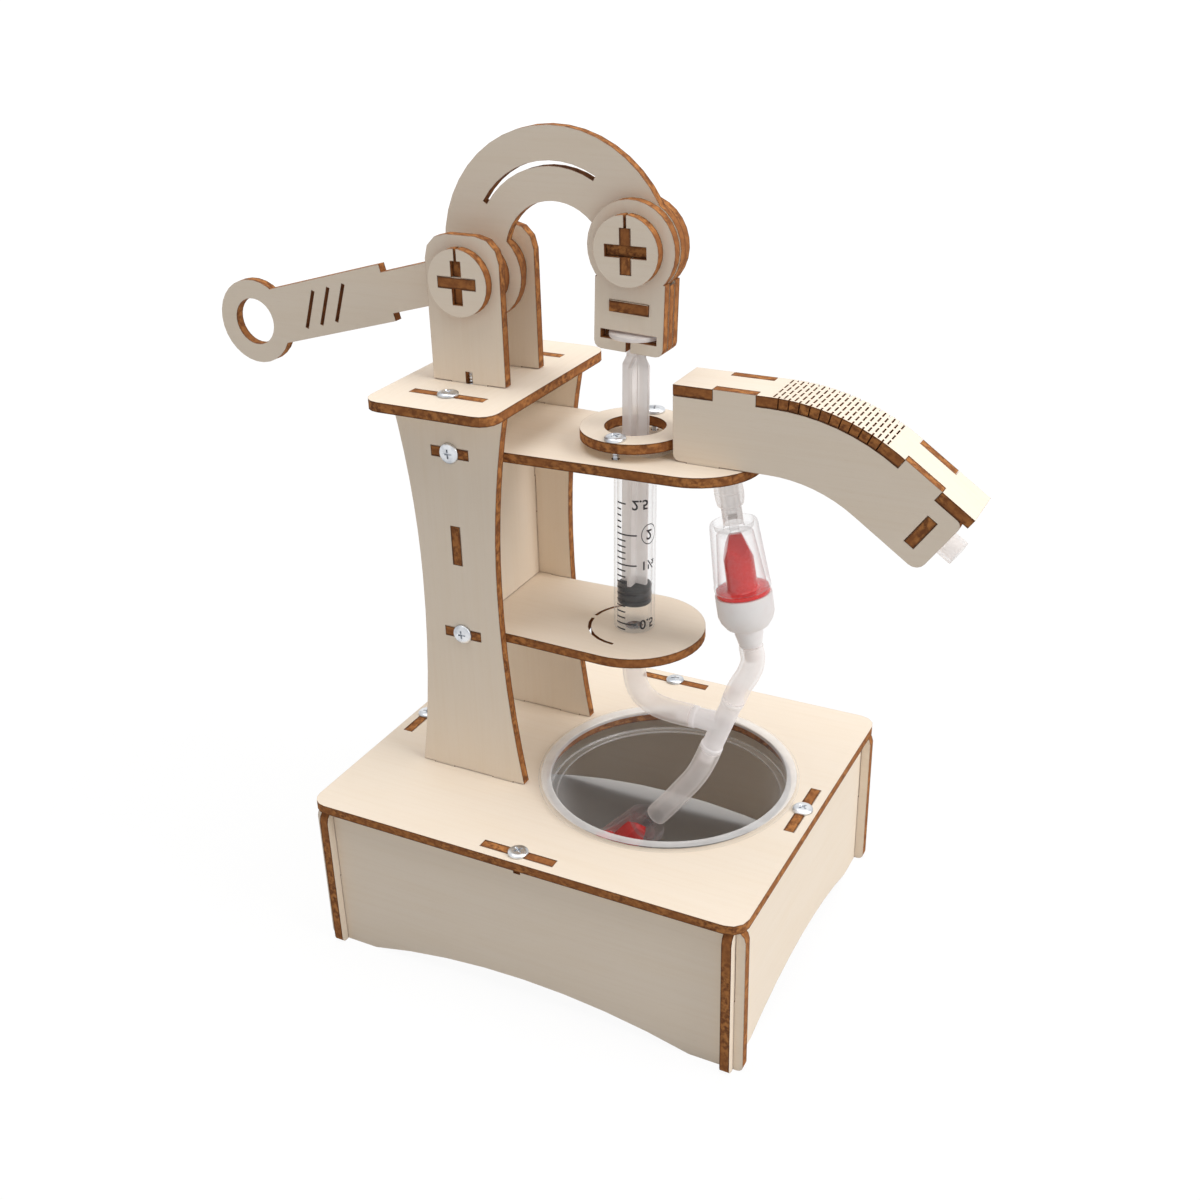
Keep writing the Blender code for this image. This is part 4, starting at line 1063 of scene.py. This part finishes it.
# Spout's top strip: cut flat with a living hinge, then bent over the side plates
stripLook = {
    "half": 6.75,
    "straight": 23.4,
    "bend": 52.5,
    "run": 19.6,
    "bendSteps": 40,
    "kerf": 0.36,
    "columns": 11,
    "rows": 3,
    "edgeTolerance": 0.1,
    "firstColumn": 25.1,
    "pitch": 2.47,
    "dash": 2.5,
    "period": 3.375,
    "notchPlay": 0.15,
    "overshoot": 1.0,
    "tabLength": 10.2,
    "firstTab": 9.7,
    "secondTab": 0.2,
}


# Notches and kerfs in the flat strip, each as (left, right, front, back)
def stripCuts():
    look = stripLook
    bendLength = look["bend"] * math.radians(spoutBend["slope"])
    play = look["notchPlay"]
    deep = plyLook["thickness"] + play
    cuts = []
    for start in (look["firstTab"], look["straight"] + bendLength + look["secondTab"]):
        left, right = start - play, start + look["tabLength"] + play
        for side in (-1, 1):
            edge, inside = side * (look["half"] + look["overshoot"]), side * (look["half"] - deep)
            cuts.append((left, right, min(edge, inside), max(edge, inside)))
    for i in range(2 * look["columns"] + 1):
        middle = look["firstColumn"] + (i - 1) * look["pitch"] / 2
        shift = 0 if i % 2 else 0.5
        for row in range(-look["rows"], look["rows"] + 1):
            centre = (row + shift) * look["period"]
            if abs(centre) > look["half"] + look["edgeTolerance"]:
                continue
            cuts.append((middle - look["kerf"] / 2, middle + look["kerf"] / 2,
                         centre - look["dash"] / 2, centre + look["dash"] / 2))
    return cuts, bendLength


# The flat strip is worked in mm, and its bending puts it in metres
def stripShape():
    look = stripLook
    cuts, bendLength = stripCuts()
    total = look["straight"] + bendLength + look["run"]
    made = bmesh.new()
    bmesh.ops.create_grid(made, x_segments=1, y_segments=1, size=0.5)
    bmesh.ops.scale(made, vec=(total, 2 * look["half"], 1), verts=made.verts)
    bmesh.ops.translate(made, vec=(total / 2, 0, 0), verts=made.verts)
    across = {round(value, 4) for cut in cuts for value in cut[:2]}
    steps = look["bendSteps"]
    across |= {look["straight"] + bendLength * i / steps for i in range(steps + 1)}
    lengthwise = {round(value, 4) for cut in cuts for value in cut[2:] if abs(value) < look["half"]}
    planes = [((value, 0, 0), (1, 0, 0)) for value in sorted(across)]
    planes += [((0, value, 0), (0, 1, 0)) for value in sorted(lengthwise)]
    for place, normal in planes:
        everything = made.verts[:] + made.edges[:] + made.faces[:]
        bmesh.ops.bisect_plane(made, geom=everything, dist=0.0001, plane_co=place, plane_no=normal)
    gone = []
    for face in made.faces:
        middle = face.calc_center_median()
        if any(left < middle.x < right and front < middle.y < back for left, right, front, back in cuts):
            gone.append(face)
    bmesh.ops.delete(made, geom=gone, context="FACES")
    loose = [vert for vert in made.verts if not vert.link_faces]
    bmesh.ops.delete(made, geom=loose, context="VERTS")
    grown = bmesh.ops.extrude_face_region(made, geom=made.faces[:])
    lowered = [item for item in grown["geom"] if isinstance(item, bmesh.types.BMVert)]
    bmesh.ops.translate(made, vec=(0, 0, -plyLook["thickness"]), verts=lowered)
    bmesh.ops.recalc_face_normals(made, faces=made.faces)
    flatPlace = made.verts.layers.float_vector.new("flatPlace")
    cutWall = made.faces.layers.float.new("cutWall")
    for vert in made.verts:
        vert[flatPlace] = vert.co * mm
    for face in made.faces:
        face[cutWall] = 0.0 if abs(face.normal.z) > plyLook["faceLimit"] else 1.0
    for vert in made.verts:
        vert.co = bentPlace(vert.co, bendLength)
    return made


# Where a point of the flat strip goes when the strip is bent
def bentPlace(place, bendLength):
    look = stripLook
    past = place.x - look["straight"]
    radius = look["bend"] + place.z
    if past <= 0:
        return kit(spoutBend["start"] + past, spoutBend["centre"] + radius, place.y)
    angle = min(past, bendLength) / look["bend"]
    x, z = bendPoint(math.degrees(angle), radius, max(0.0, past - bendLength))
    return kit(x, z, place.y)


stripFinish = plyFinish("spout_top_strip", (0, 0, 1), -plyLook["thickness"] * mm, (1, 0, 0), True)
shown("spout_strip_bent", stripShape(), stripFinish, "frame", ("spout_top_strip",), sharp=20)
print("spout strip made")


# Floor, light and camera
stageLook = {
    "floor": tone(195, 194, 193),
    "floorWarm": tone(186, 184, 182),
    "floorLift": 0.86,
    "floorGlow": 1.09,
    "floorReach": 4,
    "speckleScale": 40,
    "shadeRight": 106.0,
    "shadeFront": -28.0,
    "shadeBack": (65.0, 95.0),
    "shadeSoftness": 24.0,
    "farFloor": (0.3, 1.1),
    "worldLight": 0.34,
    "white": (1, 1, 1, 1),
}
lamps = {
    "key": {"place": (2.02, 0.1, 1.4), "size": 1.7, "power": 34.0},
    "top": {"place": (-0.1, 0.1, 2.28), "size": 2.4, "power": 29.5},
    "fill": {"place": (-0.55, -0.75, 0.45), "size": 0.8, "power": 0.15},
}


# 1 where the camera, a reflection or a view through something clear looks, and 0 for the light itself
def seenShare(made):
    rays = ("Is Camera Ray", "Is Glossy Ray", "Is Transmission Ray")
    camera, glossy, clear = (made.node("ShaderNodeLightPath", output=ray) for ray in rays)
    return camera.most(glossy).most(clear)


# Under the base, and behind it where only the cup shows it, the floor stays dark
def underBase(made):
    look = stageLook
    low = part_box("base_deck")[0]
    east, north = made.along((1, 0, 0)), made.along((0, 1, 0))
    soft = look["shadeSoftness"] * mm
    edge = kit(look["shadeRight"], 0).x
    right = 1 - east.ramp(edge - soft / 2, edge)
    front = north > look["shadeFront"] * mm
    left = east.ramp(low.x, low.x + soft)
    start, end = look["shadeBack"]
    return right * front * left * (1 - north.ramp(start * mm, end * mm))


def floorFinish():
    made = Finish(bpy.data.materials.new("floor"))
    speckle = made.noise(made.place, stageLook["speckleScale"])
    colour = made.mix(speckle, stageLook["floor"], stageLook["floorWarm"])
    shade = made.node("ShaderNodeBsdfDiffuse", {}, {"Color": colour})
    white = made.node("ShaderNodeEmission", {}, {"Color": stageLook["white"],
                                                 "Strength": stageLook["floorGlow"]})
    radius = made.node("ShaderNodeVectorMath", {"operation": "LENGTH"}, {0: made.place}, "Value")
    far = radius.ramp(*stageLook["farFloor"]) * (1 - stageLook["floorLift"]) + stageLook["floorLift"]
    seen = seenShare(made) * (1 - underBase(made)) * far
    both = made.node("ShaderNodeMixShader", {}, {0: seen, 1: shade, 2: white})
    made.node("ShaderNodeOutputMaterial", {}, {"Surface": both})
    return made.owner


def stageFloor():
    made = bmesh.new()
    bmesh.ops.create_grid(made, x_segments=1, y_segments=1, size=stageLook["floorReach"])
    mesh = bpy.data.meshes.new("floor")
    made.to_mesh(mesh)
    made.free()
    mesh.materials.append(floorFinish())
    floor = bpy.data.objects.new("floor", mesh)
    bpy.context.collection.objects.link(floor)


def stageWorld():
    world = bpy.data.worlds.new("studio")
    bpy.context.scene.world = world
    made = Finish(world)
    light = made.node("ShaderNodeBackground", {}, {"Color": stageLook["white"],
                                                   "Strength": stageLook["worldLight"]})
    white = made.node("ShaderNodeBackground", {}, {"Color": stageLook["white"]})
    both = made.node("ShaderNodeMixShader", {}, {0: seenShare(made), 1: light, 2: white})
    made.node("ShaderNodeOutputWorld", {}, {"Surface": both})


def stageLamp(name, look, target):
    light = bpy.data.lights.new(name, "AREA")
    light.shape = "DISK"
    light.size = look["size"]
    light.energy = look["power"]
    holder = bpy.data.objects.new(name, light)
    bpy.context.collection.objects.link(holder)
    holder.location = look["place"]
    holder.rotation_euler = (target - Vector(look["place"])).to_track_quat("-Z", "Y").to_euler()


viewLook = {"place": (0.16094, -0.29039, 0.25683), "around": 27.708, "above": 26.63, "roll": -1.594,
            "focal": 1446.07, "image": 1200, "sensor": 36.0}


def stageCamera():
    look = viewLook
    around, above, roll = (math.radians(look[key]) for key in ("around", "above", "roll"))
    back = Vector((math.sin(around) * math.cos(above), -math.cos(around) * math.cos(above), math.sin(above)))
    level = (-back).cross(Vector((0, 0, 1))).normalized()
    high = level.cross(-back)
    right = math.cos(roll) * level + math.sin(roll) * high
    top = math.cos(roll) * high - math.sin(roll) * level
    made = bpy.data.cameras.new("camera")
    made.sensor_width = look["sensor"]
    made.lens = look["focal"] / look["image"] * look["sensor"]
    made.clip_start = 0.01
    made.clip_end = 20
    holder = bpy.data.objects.new("camera", made)
    bpy.context.collection.objects.link(holder)
    turned = Matrix((right, top, back)).transposed().to_4x4()
    holder.matrix_world = Matrix.Translation(look["place"]) @ turned
    bpy.context.scene.camera = holder


stageFloor()
stageWorld()
for name, look in lamps.items():
    stageLamp(name, look, (cadBox[0] + cadBox[1]) / 2)
stageCamera()
bpy.context.scene.view_settings.view_transform = "Standard"
